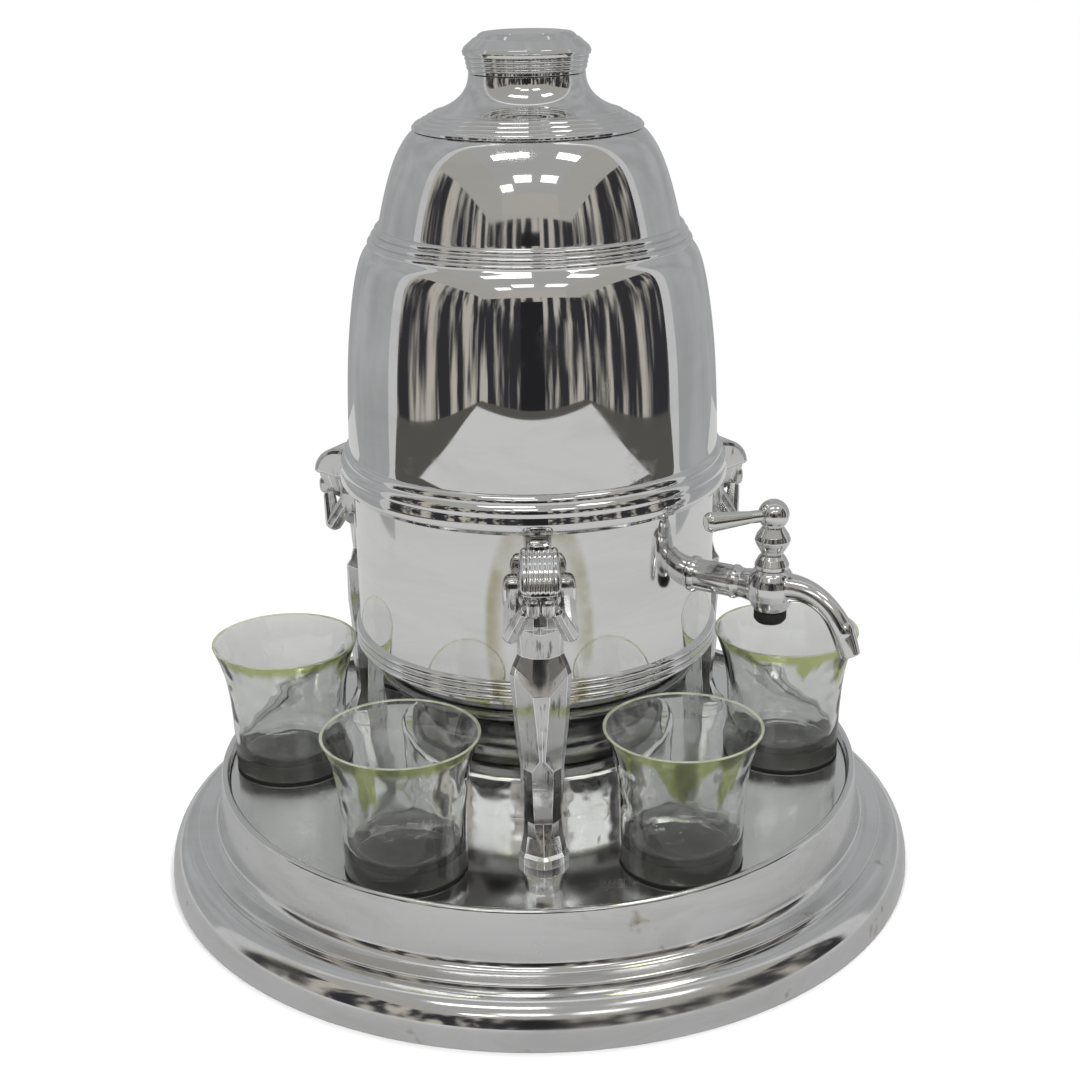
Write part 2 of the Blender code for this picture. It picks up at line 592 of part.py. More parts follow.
def make_lid():
    skirt_radius = MOUTH_RADIUS - GAP
    skirt_inside = skirt_radius - SKIRT_WALL
    screw_hole = KNOB_SCREW_RADIUS + GAP
    reed_foot = lid_bottom + LID_RIM_HEIGHT
    shoulder_width = lid_reed_radius - LID_NECK_RADIUS
    outline = [(screw_hole, lid_top)]
    for up, out in LID_SHOULDER_SHARES[:-1]:
        outline.append((LID_NECK_RADIUS + out * shoulder_width, lid_reed_top + up * LID_SHOULDER_HEIGHT))
    outline += reeds((lid_reed_radius, lid_reed_top), (seam_radius, reed_foot), LID_REED_COUNT, LID_REED_PROUD)
    outline += [(seam_radius, lid_bottom), (skirt_radius, lid_bottom), (skirt_radius, seam_height - SKIRT_LENGTH)]
    outline += [(skirt_inside, seam_height - SKIRT_LENGTH), (skirt_inside, lid_bottom)]
    outline += [(lid_reed_radius - LID_SHEET, lid_reed_top - LID_SHEET)]
    for up, out in LID_SHOULDER_SHARES[-3:1:-1]:
        radius = LID_NECK_RADIUS + out * shoulder_width - LID_SHEET
        outline.append((radius, lid_reed_top + up * LID_SHOULDER_HEIGHT - LID_SHEET))
    outline += [(LID_NECK_RADIUS - LID_SHEET, lid_top - LID_SHEET), (screw_hole, lid_top - LID_SHEET)]
    return turned("lid", outline, chrome, parts)


def make_knob():
    hole = KNOB_SCREW_RADIUS + GAP
    hole_top = knob_bottom + KNOB_SCREW_DEPTH
    outline = [(0, knob_bottom + KNOB_HEIGHT)]
    outline += dome(KNOB_SHARES, knob_bottom, KNOB_HEIGHT, KNOB_RADIUS)
    outline += [(hole, knob_bottom), (hole, hole_top), (0, hole_top)]
    turned("knob", outline, chrome, parts, MIDDLE_SIDES)
    head_top = lid_top - LID_SHEET - GAP
    head_bottom = head_top - KNOB_SCREW_HEAD_HEIGHT
    tip = hole_top - GAP
    outline = [(0, tip), (KNOB_SCREW_RADIUS, tip), (KNOB_SCREW_RADIUS, head_top), (KNOB_SCREW_HEAD_RADIUS, head_top)]
    outline += [(KNOB_SCREW_HEAD_RADIUS, head_bottom), (0, head_bottom)]
    return turned("knob_screw", outline, steel, parts, SMALL_SIDES)


def ring_outline(inner, outer, top, thickness):
    return [(inner, top), (outer, top), (outer, top - thickness), (inner, top - thickness)]


def hex_nut(name, hole_radius, radius, top, height, parent=None):
    """A plain nut along its own Z, with a round hole."""
    outline = [(0, top), (radius, top), (radius, top - height), (0, top - height)]
    nut = turned(name, outline, steel, parts, HEX_SIDES, parent)
    where = Matrix.Translation((0, 0, top - height / 2))
    hole = rod_cutter(name + "_hole", hole_radius, height + OVERRUN, where, parent)
    cut(nut, hole)
    return nut, hole


def make_centre_stud():
    flange_top = drum_bottom - GAP
    washer_top = deck_bottom - GAP
    nut_top = washer_top - WASHER_THICKNESS - GAP
    tail = nut_top - NUT_HEIGHT - STUD_TAIL
    flange_foot = flange_top - STUD_FLANGE_HEIGHT
    outline = [(0, flange_top), (STUD_FLANGE_RADIUS, flange_top), (STUD_FLANGE_RADIUS, flange_foot)]
    outline += [(STUD_RADIUS, flange_foot), (STUD_RADIUS, tail), (0, tail)]
    turned("centre_stud", outline, steel, parts, SMALL_SIDES)
    washer = ring_outline(stud_hole_radius, WASHER_RADIUS, washer_top, WASHER_THICKNESS)
    turned("stud_washer", washer, steel, parts, SMALL_SIDES)
    hex_nut("stud_nut", stud_hole_radius, NUT_RADIUS, nut_top, NUT_HEIGHT)


def glass_outlines():
    flare = GLASS_RIM_RADIUS - GLASS_FOOT_RADIUS
    floor_radius = GLASS_FOOT_RADIUS - 3 * GLASS_WALL
    outline = [(0, GLASS_BASE), (floor_radius, GLASS_BASE)]
    for up, out in GLASS_SHARES[:0:-1]:
        wall = GLASS_RIM_WALL + (1 - up) * (GLASS_WALL - GLASS_RIM_WALL)
        height = max(up * GLASS_HEIGHT, GLASS_BASE + GLASS_WALL)
        outline.append((GLASS_FOOT_RADIUS + out * flare - wall, height))
    outline.append((GLASS_RIM_RADIUS - GLASS_RIM_WALL, GLASS_HEIGHT))
    outline += [(GLASS_FOOT_RADIUS + out * flare, up * GLASS_HEIGHT) for up, out in GLASS_SHARES]
    outline += [(GLASS_FOOT_RADIUS, GLASS_HEEL), (GLASS_FOOT_RADIUS - GLASS_HEEL, 0), (0, 0)]
    pad = [(0, PAD_THICKNESS), (GLASS_FOOT_RADIUS, PAD_THICKNESS), (GLASS_FOOT_RADIUS, 0), (0, 0)]
    return outline, pad


def make_glasses():
    glass_outline, pad_outline = glass_outlines()
    glass_mesh = profile_mesh("glass", glass_outline, closed=False)
    pad_mesh = profile_mesh("glass_pad", pad_outline, closed=False)
    for i, frame in enumerate(glass_frames, start=1):
        pad = turned(f"glass_pad_{i}", pad_outline, rubber, parts, GLASS_SIDES, frame, pad_mesh)
        pad.location.z = pad_bottom
        glass = turned(f"glass_{i}", glass_outline, clear_glass, parts, GLASS_SIDES, frame, glass_mesh)
        glass.location.z = glass_bottom


def figure_point(depth, across, up):
    """A point of the figure from shares: outwards, sideways and up from its foot's middle."""
    return Vector((figure_axis_radius + depth * FIGURE_DEPTH, across * FIGURE_WIDTH, up * FIGURE_HEIGHT + deck_top + GAP))


def body_rings():
    rings = []
    for up, strip_x, strip, face_x, face, side_x, side, lift, back_x, back in BODY_SHARES:
        half = [(strip_x, strip, up), (face_x, face, up + lift), (side_x, side, up + lift), (back_x, back, up)]
        left = [(depth, -across, height) for depth, across, height in half[::-1]]
        rings.append([figure_point(*share) for share in half + left])
    return rings


def head_rings():
    """The head's side outline, repeated across its width with the grooves of the hair."""
    outline = [figure_point(depth, 0, up) for depth, up in HEAD_SHARES]
    centre = figure_point(HEAD_CENTRE_SHARE[0], 0, HEAD_CENTRE_SHARE[1])
    stations = [(-across * HEAD_HALF_WIDTH, size) for across, size in HEAD_SIDE_SHARES]
    spread = HAIR_SPREAD_SHARE * HEAD_HALF_WIDTH
    steps = 2 * HAIR_GROOVE_COUNT
    for i in range(steps + 1):
        stations.append((spread * (2 * i / steps - 1), HAIR_GROOVE_SHARE if i % 2 else 1.0))
    stations += [(across * HEAD_HALF_WIDTH, size) for across, size in HEAD_SIDE_SHARES[::-1]]
    rings = []
    for across, size in stations:
        ring = [centre + (point - centre) * size for point in outline]
        rings.append([Vector((point.x, across, point.z)) for point in ring])
    return rings


def limb_mesh(name, start, end, start_radius, end_radius):
    return tube_mesh(name, [start, end], [start_radius, end_radius], 1)


def arm_meshes(name, side):
    shoulder = figure_point(SHOULDER_SHARE[0], side * SHOULDER_SHARE[1], SHOULDER_SHARE[2])
    elbow = figure_point(ELBOW_SHARE[0], side * ELBOW_SHARE[1], ELBOW_SHARE[2])
    wrist = figure_point(WRIST_SHARE[0], side * WRIST_SHARE[1], WRIST_SHARE[2])
    upper = limb_mesh(name + "_upper_arm", shoulder, elbow, UPPER_ARM_RADIUS, ELBOW_RADIUS)
    toe = elbow + (elbow - wrist).normalized() * ELBOW_RADIUS
    fore = limb_mesh(name + "_forearm", toe, wrist, ELBOW_RADIUS, WRIST_RADIUS)
    centre = figure_point(HAND_SHARE[0], side * HAND_SHARE[1], HAND_SHARE[2])
    palm = limb_mesh(name + "_palm", wrist, centre, WRIST_RADIUS, WRIST_RADIUS)
    hand = bpy.data.meshes.new(name + "_hand")
    shape = bmesh.new()
    depth, across, up = HAND_SIZE_SHARE
    size = Vector((depth * FIGURE_DEPTH, across * FIGURE_WIDTH, up * FIGURE_HEIGHT))
    bmesh.ops.create_cube(shape, size=1.0, matrix=Matrix.Translation(centre) @ Matrix.Diagonal((*size, 1.0)))
    bmesh.ops.bevel(shape, geom=shape.edges[:], offset=HAND_ROUND, segments=1, affect="EDGES")
    shape.to_mesh(hand)
    shape.free()
    return [upper, fore, palm, hand]


def make_figures():
    body_mesh = loft_mesh("figure_body", body_rings())
    piece_meshes = [loft_mesh("figure_head", head_rings())]
    for side_name, side in (("right", 1), ("left", -1)):
        piece_meshes += arm_meshes(side_name, side)
    sideways = Matrix.Rotation(math.radians(90), 4, "Y")
    lug_inner = DRUM_RADIUS + GAP
    lug_length = figure_axis_radius - lug_inner
    lug_height = deck_top + LUG_RISE
    lug_mesh = bpy.data.meshes.new("figure_lug")
    shape = bmesh.new()
    where = Matrix.Translation((lug_inner + lug_length / 2, 0, lug_height)) @ sideways
    bmesh.ops.create_cone(
        shape, cap_ends=True, segments=SMALL_SIDES, radius1=LUG_RADIUS, radius2=LUG_RADIUS, depth=lug_length, matrix=where
    )
    shape.to_mesh(lug_mesh)
    shape.free()
    for name, frame in zip(FIGURE_NAMES, figure_frames):
        figure = add_object("figure_" + name, body_mesh, chrome, parts, frame)
        for mesh in piece_meshes + [lug_mesh]:
            join(figure, add_object(f"{mesh.name}_{name}", mesh, None, cutters, frame))
        where = Matrix.Translation((figure_axis_radius, 0, deck_top))
        cut(figure, rod_cutter(f"foot_hole_{name}", fixing_hole_radius, 2 * FIXING_DEPTH, where, frame))
        where = Matrix.Translation((lug_inner, 0, lug_height)) @ sideways
        cut(figure, rod_cutter(f"lug_hole_{name}", fixing_hole_radius, 2 * FIXING_DEPTH, where, frame))
        foot_screw = turned("foot_screw_" + name, fixing_outline(DECK_SHEET), steel, parts, FIXING_SIDES, frame)
        foot_screw.location = (figure_axis_radius, 0, deck_bottom - GAP)
        wall = DRUM_SHEET + screw_setback
        head_screw = turned("lug_screw_" + name, fixing_outline(wall), steel, parts, FIXING_SIDES, frame)
        head_screw.location = (drum_inner_radius - screw_setback, 0, lug_height)
        head_screw.rotation_euler.y = math.radians(90)


def fixing_outline(wall):
    """A screw that points up from the face its head bears on, through a wall and into a blind hole."""
    tip = wall + FIXING_DEPTH
    return [
        (0, tip), (FIXING_RADIUS, tip), (FIXING_RADIUS, 0), (FIXING_HEAD_RADIUS, 0),
        (FIXING_HEAD_RADIUS, -FIXING_HEAD_HEIGHT), (0, -FIXING_HEAD_HEIGHT),
    ]


def spout_points():
    points = []
    radii = []
    for out, down, size in SPOUT_SHARES:
        points.append((out * SPOUT_REACH, 0, -down * SPOUT_DROP))
        radii.append(size * SPOUT_RADIUS)
    return points, radii


def make_tap_body():
    """Shank, barrel, valve body and spout in one casting, bored through and drilled for the key."""
    valve = dome(VALVE_SHARES, -VALVE_HEIGHT / 2, VALVE_HEIGHT, VALVE_RADIUS)
    outline = [(0, VALVE_HEIGHT / 2)] + valve + [(0, -VALVE_HEIGHT / 2)]
    body = turned("tap_body", outline, chrome, parts, MIDDLE_SIDES, tap_frame)
    barrel_end = tap_axis_radius - DRUM_RADIUS - COLLAR_THICKNESS - 2 * GAP
    shank_end = tap_axis_radius - drum_inner_radius + SHANK_LENGTH
    outline = [(0, shank_end), (SHANK_RADIUS, shank_end), (SHANK_RADIUS, barrel_end), (BARREL_RADIUS, barrel_end)]
    outline += [(BARREL_RADIUS, BARREL_TAPER_START), (SHANK_RADIUS, BARREL_TAPER_START - BARREL_TAPER_LENGTH)]
    outline += [(SHANK_RADIUS, 0), (0, 0)]
    barrel = turned("tap_barrel", outline, None, cutters, SMALL_SIDES, tap_frame)
    barrel.rotation_euler.y = math.radians(-90)
    join(body, barrel)
    points, radii = spout_points()
    join(body, add_object("tap_spout", tube_mesh("tap_spout", points, radii, 2), None, cutters, tap_frame))
    seat = key_seat(VALVE_HEIGHT / 2 + OVERRUN, GAP)
    cut(body, turned("key_bore", seat, None, cutters, MIDDLE_SIDES, tap_frame))
    sideways = Matrix.Rotation(math.radians(90), 4, "Y")
    where = Matrix.Translation((-shank_end / 2, 0, 0)) @ sideways
    cut(body, rod_cutter("shank_bore", FLOW_RADIUS, shank_end + OVERRUN, where, tap_frame))
    (x0, _, z0), (x1, _, z1) = points[-2:]
    stretch = 1 + OVERRUN / math.hypot(x1 - x0, z1 - z0)
    bore_points = points[1:-1] + [(x0 + (x1 - x0) * stretch, 0, z0 + (z1 - z0) * stretch)]
    bore_points = [(0, 0, 0)] + bore_points
    bore = tube_mesh("spout_bore", bore_points, [FLOW_RADIUS] * len(bore_points), 1)
    cut(body, add_object("spout_bore", bore, None, cutters, tap_frame))
    return body


def key_seat(half_height, clearance):
    """The tapered plug, or with a clearance the bore that it turns in."""
    half = VALVE_HEIGHT / 2
    slope = (KEY_TOP_RADIUS - KEY_BOTTOM_RADIUS) / 2
    middle = (KEY_TOP_RADIUS + KEY_BOTTOM_RADIUS) / 2 + clearance
    top = middle + slope * half_height / half
    bottom = middle - slope * half_height / half
    return [(0, half_height), (top, half_height), (bottom, -half_height), (0, -half_height)]


def make_tap_key():
    stem_bottom = VALVE_HEIGHT / 2 + GAP
    ball_centre = stem_bottom + KEY_STEM_HEIGHT + KEY_BALL_RADIUS * math.cos(math.radians(45))
    neck_radius = KEY_STEM_RADIUS * KEY_STEM_SHARES[0][1]
    start = math.degrees(math.acos(neck_radius / KEY_BALL_RADIUS))
    outline = arc(0, ball_centre, KEY_BALL_RADIUS, KEY_BALL_RADIUS, 90, -start, 6)
    outline[0] = (0, ball_centre + KEY_BALL_RADIUS)
    outline += dome(KEY_STEM_SHARES, stem_bottom, KEY_STEM_HEIGHT, KEY_STEM_RADIUS)
    plug = key_seat(VALVE_HEIGHT / 2, 0)
    cap_bottom = -VALVE_HEIGHT / 2 - GAP - CAP_HEIGHT
    outline += [(plug[1][0], stem_bottom), plug[2], (KEY_BOTTOM_RADIUS, cap_bottom), (0, cap_bottom)]
    key = turned("tap_key", outline, chrome, parts, MIDDLE_SIDES, tap_frame)
    across = Matrix.Rotation(math.radians(90), 4, "X")
    cut(key, rod_cutter("key_port", FLOW_RADIUS - GAP, 2 * (KEY_TOP_RADIUS + OVERRUN), across, tap_frame))
    cap_top = -VALVE_HEIGHT / 2 - GAP
    hole = KEY_BOTTOM_RADIUS + GAP
    chamfer = CAP_HEIGHT / 4
    cap = [(hole, cap_top), (CAP_RADIUS, cap_top), (CAP_RADIUS, cap_top - CAP_HEIGHT + chamfer)]
    cap += [(CAP_RADIUS - chamfer, cap_top - CAP_HEIGHT), (hole, cap_top - CAP_HEIGHT)]
    turned("tap_cap", cap, rubber, parts, MIDDLE_SIDES, tap_frame)
    make_tap_lever(ball_centre)
    return key


def make_tap_lever(ball_centre):
    """A trumpet-shaped lever screwed into the side of the key's ball."""
    root = KEY_BALL_RADIUS + GAP
    tip = LEVER_LENGTH - LEVER_TIP_RADIUS / 2
    outline = [(0, LEVER_LENGTH)]
    outline += arc(0, tip, LEVER_TIP_RADIUS, LEVER_TIP_RADIUS / 2, 60, 0, 2)
    outline += [(LEVER_ROOT_RADIUS + (LEVER_TIP_RADIUS - LEVER_ROOT_RADIUS) / 2, tip - (tip - root) / 4)]
    outline += [(LEVER_ROOT_RADIUS, root), (0, root)]
    lever = turned("tap_lever", outline, chrome, parts, SMALL_SIDES, tap_frame)
    lever.location.z = ball_centre
    lever.rotation_euler = (0, math.radians(90), math.radians(180) + LEVER_TURN)


def make_tap_fixings():
    """The collar outside the drum, and the washer and nut inside it, on the tap's shank."""
    hole = SHANK_RADIUS + GAP
    collar_outer = tap_axis_radius - DRUM_RADIUS - GAP
    washer_outer = tap_axis_radius - drum_inner_radius + washer_setback
    nut_outer = washer_outer + TAP_WASHER_THICKNESS + GAP
    far_side = washer_outer + TAP_WASHER_THICKNESS
    collar = turned(
        "tap_collar", ring_outline(hole, COLLAR_RADIUS, collar_outer, COLLAR_THICKNESS),
        chrome, parts, SMALL_SIDES, tap_frame,
    )
    washer = turned(
        "tap_washer", ring_outline(hole, TAP_WASHER_RADIUS, far_side, TAP_WASHER_THICKNESS),
        rubber, parts, SMALL_SIDES, tap_frame,
    )
    nut_pieces = hex_nut("tap_nut", hole, TAP_NUT_RADIUS, nut_outer + TAP_NUT_THICKNESS, TAP_NUT_THICKNESS, tap_frame)
    for piece in (collar, washer, *nut_pieces):
        piece.rotation_euler.y = math.radians(-90)


clear_scene()
parts = new_collection(COLLECTION_NAME)
cutters = new_collection(CUTTER_COLLECTION_NAME)
cutters.hide_render = True
chrome = new_material("chrome", (0.78, 0.78, 0.78), 1.0, 0.06)
steel = new_material("steel", (0.5, 0.5, 0.5), 1.0, 0.35)
clear_glass = new_material("clear_glass", (0.93, 0.96, 0.92), 0.0, 0.02, 0.35)
rubber = new_material("black_rubber", (0.02, 0.02, 0.02), 0.0, 0.6)

FIGURE_NAMES = ("front", "right", "left")
figure_pitch = math.radians(360) / FIGURE_COUNT
glass_pitch = math.radians(360) / glass_count
figure_frames = [
    add_frame("figure_station_" + name, parts, FIRST_FIGURE_ANGLE + i * figure_pitch)
    for i, name in enumerate(FIGURE_NAMES)
]
glass_frames = [
    add_frame(f"glass_station_{i + 1}", parts, FIRST_FIGURE_ANGLE + (i + 0.5) * glass_pitch, glass_ring_radius)
    for i in range(glass_count)
]
tap_frame = add_frame("tap_axis", parts, TAP_ANGLE, tap_axis_radius, tap_height)

make_base_pan()
make_tray_deck()
make_pedestal()
make_urn_foot()
make_urn_drum()
make_urn_shell()
make_lid()
make_knob()
make_centre_stud()
make_glasses()
make_figures()
make_tap_body()
make_tap_key()
make_tap_fixings()
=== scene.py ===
"""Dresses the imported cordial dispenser: smooth chromed metal, clear flared glasses and a plain studio."""

import math

import bmesh
import bpy
from mathutils import Matrix, Vector


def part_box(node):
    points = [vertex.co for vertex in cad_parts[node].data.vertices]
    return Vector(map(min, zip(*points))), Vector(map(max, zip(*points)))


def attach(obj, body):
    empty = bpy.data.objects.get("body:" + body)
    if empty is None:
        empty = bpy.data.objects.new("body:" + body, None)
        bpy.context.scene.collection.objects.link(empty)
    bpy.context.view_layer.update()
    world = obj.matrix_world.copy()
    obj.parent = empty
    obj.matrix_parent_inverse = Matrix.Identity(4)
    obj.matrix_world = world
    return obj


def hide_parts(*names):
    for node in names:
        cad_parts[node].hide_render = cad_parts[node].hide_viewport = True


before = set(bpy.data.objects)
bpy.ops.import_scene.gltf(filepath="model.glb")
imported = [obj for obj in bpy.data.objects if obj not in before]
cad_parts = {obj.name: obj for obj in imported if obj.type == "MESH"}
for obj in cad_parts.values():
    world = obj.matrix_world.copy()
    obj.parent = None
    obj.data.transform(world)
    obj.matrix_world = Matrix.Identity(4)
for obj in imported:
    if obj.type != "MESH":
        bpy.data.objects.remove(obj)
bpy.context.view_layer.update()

bl_info = {
    "name": "Cordial dispenser dressing",
    "version": (1, 0, 0),
    "blender": (4, 5, 0),
    "location": "3D View > Sidebar > Dispenser",
    "description": "Builds the fine surfaces, finishes and studio of a chromed cordial dispenser",
    "category": "Object",
}

MM = 0.001
FIGURES = {"front": -90, "right": 30, "left": 150}
TAP_DEGREES = -32
GLASS_COUNT = 6
FIRST_GLASS_DEGREES = -60

# Smoothness of the fine pieces
ROUND_SEGMENTS = 160
GLASS_SEGMENTS = 96
SMALL_SEGMENTS = 48
BORE_SEGMENTS = 32
LUG_SEGMENTS = 24
LIP_SEGMENTS = (24, 16)
BLOCK_SEGMENTS = (40, 24)
CORNER_STEPS = 5
CORNER_SHARE = 0.48
REED_STEPS = 6
BEAD_STEPS = 16
BALL_STEPS = 24
SHARP_ANGLE = math.radians(32)
CAST_SHARP_ANGLE = math.radians(50)
WELD = 0.000001
VOXEL = 0.0003
SOFTENING_ROUNDS = 10

# Outlines in millimetres: radius, height, and where wanted the radius that rounds the corner
PAN_TOP = [
    (112.4, 35.2), (121.4, 35.2, 0.3), (121.4, 41.0, 1.38), (124.2, 41.0, 1.38), (127.0, 19.25, 6.0),
    (135.2, 19.15, 0.9), (135.0, 16.3, 0.35),
]
# The pan's roll: its middle, how far it reaches out and up, and the angles that its outline passes through
PAN_ROLL = (133.6, 12.4, 16.35)
ROLL_POWER = 0.8
ROLL_TURNS = range(83, -1, -4)
ROLL_INSIDE_TURNS = range(10, 80, 12)
PAN_SHEET = 1.2
PAN_HEM = [(146.0, 0.0, 0.3), (141.0, 0.0, 0.3), (141.0, 1.2, 0.3), (143.6, 1.2, 0.5)]
PAN_INSIDE = [(135.4, 14.6), (130.2, 17.6, 1.0), (125.9, 20.6, 3.0), (122.8, 34.0, 0.6), (112.4, 34.0)]
DECK_OUTLINE = [(3.3, 37.0), (121.1, 37.0, 0.2), (121.1, 35.5), (3.3, 35.5)]
WELL_MARGIN = 0.3
PEDESTAL_OUTLINE = [
    (3.3, 53.5), (53.0, 53.5, 2.2), (53.0, 37.02), (51.8, 37.02), (51.8, 52.2, 1.4), (3.3, 52.3),
]
FOOT_TOP = [(52.9, 86.98), (59.0, 86.98, 0.2), (59.0, 84.2)]
FOOT_BEAD = ((59.0, 84.2), (59.0, 79.8), 2.2)
FOOT_NECK = [
    (58.2, 79.8), (55.6, 78.0), (51.6, 75.0), (47.6, 71.0), (44.7, 66.5), (43.5, 62.0), (43.9, 59.0),
    (45.6, 57.0), (47.6, 56.0),
]
FOOT_FLANGE = [(49.0, 56.0, 0.4), (49.0, 53.52), (40.5, 53.52), (40.5, 67.9), (52.9, 79.8)]
DRUM_INSIDE = [
    (0.0, 88.5), (60.3, 88.5, 0.6), (60.3, 92.7, 0.6), (66.0, 94.2, 1.2), (66.0, 158.0, 0.3),
    (67.2, 158.0, 0.3), (67.2, 99.4, 0.2),
]
DRUM_REEDS = ((67.75, 99.1), (67.75, 91.3), 3, 1.05)
DRUM_HEEL = [(61.5, 91.2, 0.5), (61.5, 87.0, 0.4), (0.0, 87.0)]
SHELL_MOUTH = [(36.0, 279.7, 0.5), (39.9, 279.7, 0.4)]
SHELL_UPPER = [
    (40.35, 279.3), (42.0, 277.9), (44.6, 274.3), (46.9, 269.9), (49.1, 264.0), (50.9, 258.0), (52.3, 252.4),
    (53.4, 247.7),
]
SHELL_REEDS = ((53.5, 247.5), (57.4, 240.9), 3, 0.85)
SHELL_LOWER = [
    (57.6, 240.6), (59.6, 238.3), (61.3, 234.2), (62.8, 228.2), (64.0, 221.5), (65.4, 212.0), (66.5, 201.5),
    (67.2, 190.0), (67.7, 179.0), (68.0, 168.3),
]
BAND_REEDS = [
    ((68.1, 168.1), (69.75, 165.0), 0.6), ((69.75, 165.0), (71.2, 160.9), 0.65),
    ((71.2, 160.9), (71.75, 156.6), 0.25),
]
BAND_LIP = [
    (71.6, 156.2, 0.5), (70.2, 154.4, 0.9), (67.5, 154.3, 0.2), (67.5, 158.3), (66.0, 158.3), (66.0, 159.6),
]
SHELL_INSIDE = [
    (66.6, 168.0), (66.1, 179.0), (65.3, 194.0), (63.8, 208.0), (61.8, 222.0), (59.2, 234.0), (55.6, 240.0),
    (52.2, 246.0), (49.9, 256.0), (46.6, 265.0), (42.0, 272.5), (39.0, 275.6), (36.0, 277.6),
]
LID_TOP = [(2.3, 298.0), (20.2, 298.0, 0.3)]
LID_SHOULDER = [
    (20.2, 297.8), (20.4, 295.8), (21.1, 293.6), (22.6, 291.2), (24.9, 289.1), (27.9, 287.3), (31.4, 285.9),
]
LID_REEDS = ((31.7, 285.7), (39.9, 281.2), 4, 0.42)
LID_RIM = [
    (40.35, 280.9, 0.3), (40.35, 280.0, 0.25), (35.7, 280.0), (35.7, 271.7, 0.3), (34.7, 271.7, 0.3),
    (34.7, 280.6),
]
LID_INSIDE = [(30.6, 284.2, 1.0), (24.0, 287.9, 1.0), (20.1, 291.4, 1.0), (19.0, 296.8, 0.4), (2.3, 296.8)]
KNOB_TOP = [
    (0.0, 311.5), (13.7, 311.5, 0.2), (14.0, 311.15, 0.2), (15.4, 311.3, 0.4), (16.4, 310.8, 0.4),
    (17.4, 309.7, 0.25), (18.3, 309.4, 0.3), (21.5, 306.7, 0.9), (22.2, 305.3, 0.8), (21.9, 304.1, 0.5),
    (21.2, 303.8),
]
KNOB_REEDS = ((21.1, 303.7), (20.2, 299.2), 3, 0.4)
KNOB_FOOT = [(20.2, 298.3, 0.2), (2.3, 298.3), (2.3, 305.3), (0.0, 305.3)]
GLASS_FOOT = [(0.0, -0.01), (21.7, -0.01, 0.35)]
GLASS_WALL = [
    (21.75, 2.2), (21.8, 8.0), (21.9, 16.0), (22.2, 25.0), (22.9, 33.0), (24.2, 40.0), (26.0, 46.0),
    (27.7, 50.2),
]
GLASS_LIP = [(27.9, 50.9, 0.5), (26.75, 50.9, 0.5)]
GLASS_LIP_LOW = 50.4
GLASS_CAVITY = [
    (26.5, 50.0), (24.8, 46.0), (22.8, 40.5), (21.4, 34.0), (20.7, 27.5), (20.3, 21.0), (20.1, 12.0),
    (19.6, 9.0), (17.8, 6.3), (14.6, 4.4), (11.0, 3.4), (7.0, 3.0), (0.0, 3.0),
]
PAD_OUTLINE = [(0.0, 1.3), (21.8, 1.3, 0.3), (21.8, -0.28), (0.0, -0.28)]

# Tap in millimetres from the key's axis at the height of the barrel: outwards, up
VALVE_OUTLINE = [
    (0.0, 7.8), (5.5, 7.8), (6.9, 6.5), (7.95, 4.4), (8.5, 1.9), (8.55, -0.6), (8.1, -3.2), (7.1, -5.7),
    (5.8, -7.8), (0.0, -7.8),
]
BARREL_OUTLINE = [
    (0.0, 40.6), (4.2, 40.6, 0.2), (4.2, 28.3, 0.1), (5.7, 28.2, 0.3), (5.7, 14.8), (6.1, 14.5, 0.3),
    (6.15, 13.3, 0.4), (5.5, 12.2, 0.5), (5.3, 10.6, 1.5), (5.9, 7.0, 2.0), (6.2, 4.0), (4.6, 3.0, 0.5),
    (0.0, 3.0),
]
SPOUT_PATH = [
    (0.0, 0.0, 5.6), (3.5, 1.0, 5.5), (7.5, 1.6, 5.0), (11.5, 1.6, 4.5), (15.5, 0.6, 4.1), (19.5, -1.6, 3.9),
    (23.0, -4.6, 3.8), (26.0, -8.6, 4.1), (28.2, -13.0, 4.2), (29.6, -16.8, 4.0), (30.6, -19.8, 3.8),
]
SPOUT_BORE = [(29.2, -15.5, 2.3), (31.2, -22.5, 2.3)]
# The swelling on the outside of the spout's bend: outwards, up, radius, and how it is stretched
SPOUT_LIP = (27.9, -11.6, 4.4)
SPOUT_LIP_STRETCH = (0.9, 0.95, 1.2, 1)
BALL_RADIUS = 5.5
STEM_OUTLINE = [
    (3.95, 22.8, 0.5), (5.7, 20.2, 1.2), (6.35, 18.4, 1.2), (5.9, 16.9, 1.2), (3.85, 13.4, 0.4),
    (4.1, 12.7, 0.5), (5.0, 11.6, 0.8), (6.1, 9.3, 0.8), (6.0, 7.9, 0.2), (3.0, 7.9), (2.4, -12.5, 0.2),
    (0.0, -12.5),
]
# Where the ball ends and the stem begins
BALL_FOOT = (3.75, 23.4)
LEVER_OUTLINE = [
    (0.0, 26.0), (2.6, 25.7, 0.9), (3.6, 24.2, 1.0), (3.2, 20.0, 3.0), (2.2, 9.0, 3.0), (2.2, 5.0),
    (0.0, 5.0),
]
CAP_OUTLINE = [(2.7, -7.9), (5.8, -7.9, 0.2), (5.8, -11.1, 0.9), (4.7, -12.5, 0.6), (2.7, -12.5, 0.3)]
COLLAR_OUTLINE = [(4.5, 30.15), (6.6, 30.15), (6.6, 29.2, 0.6), (5.95, 28.1, 0.3), (4.5, 28.1)]

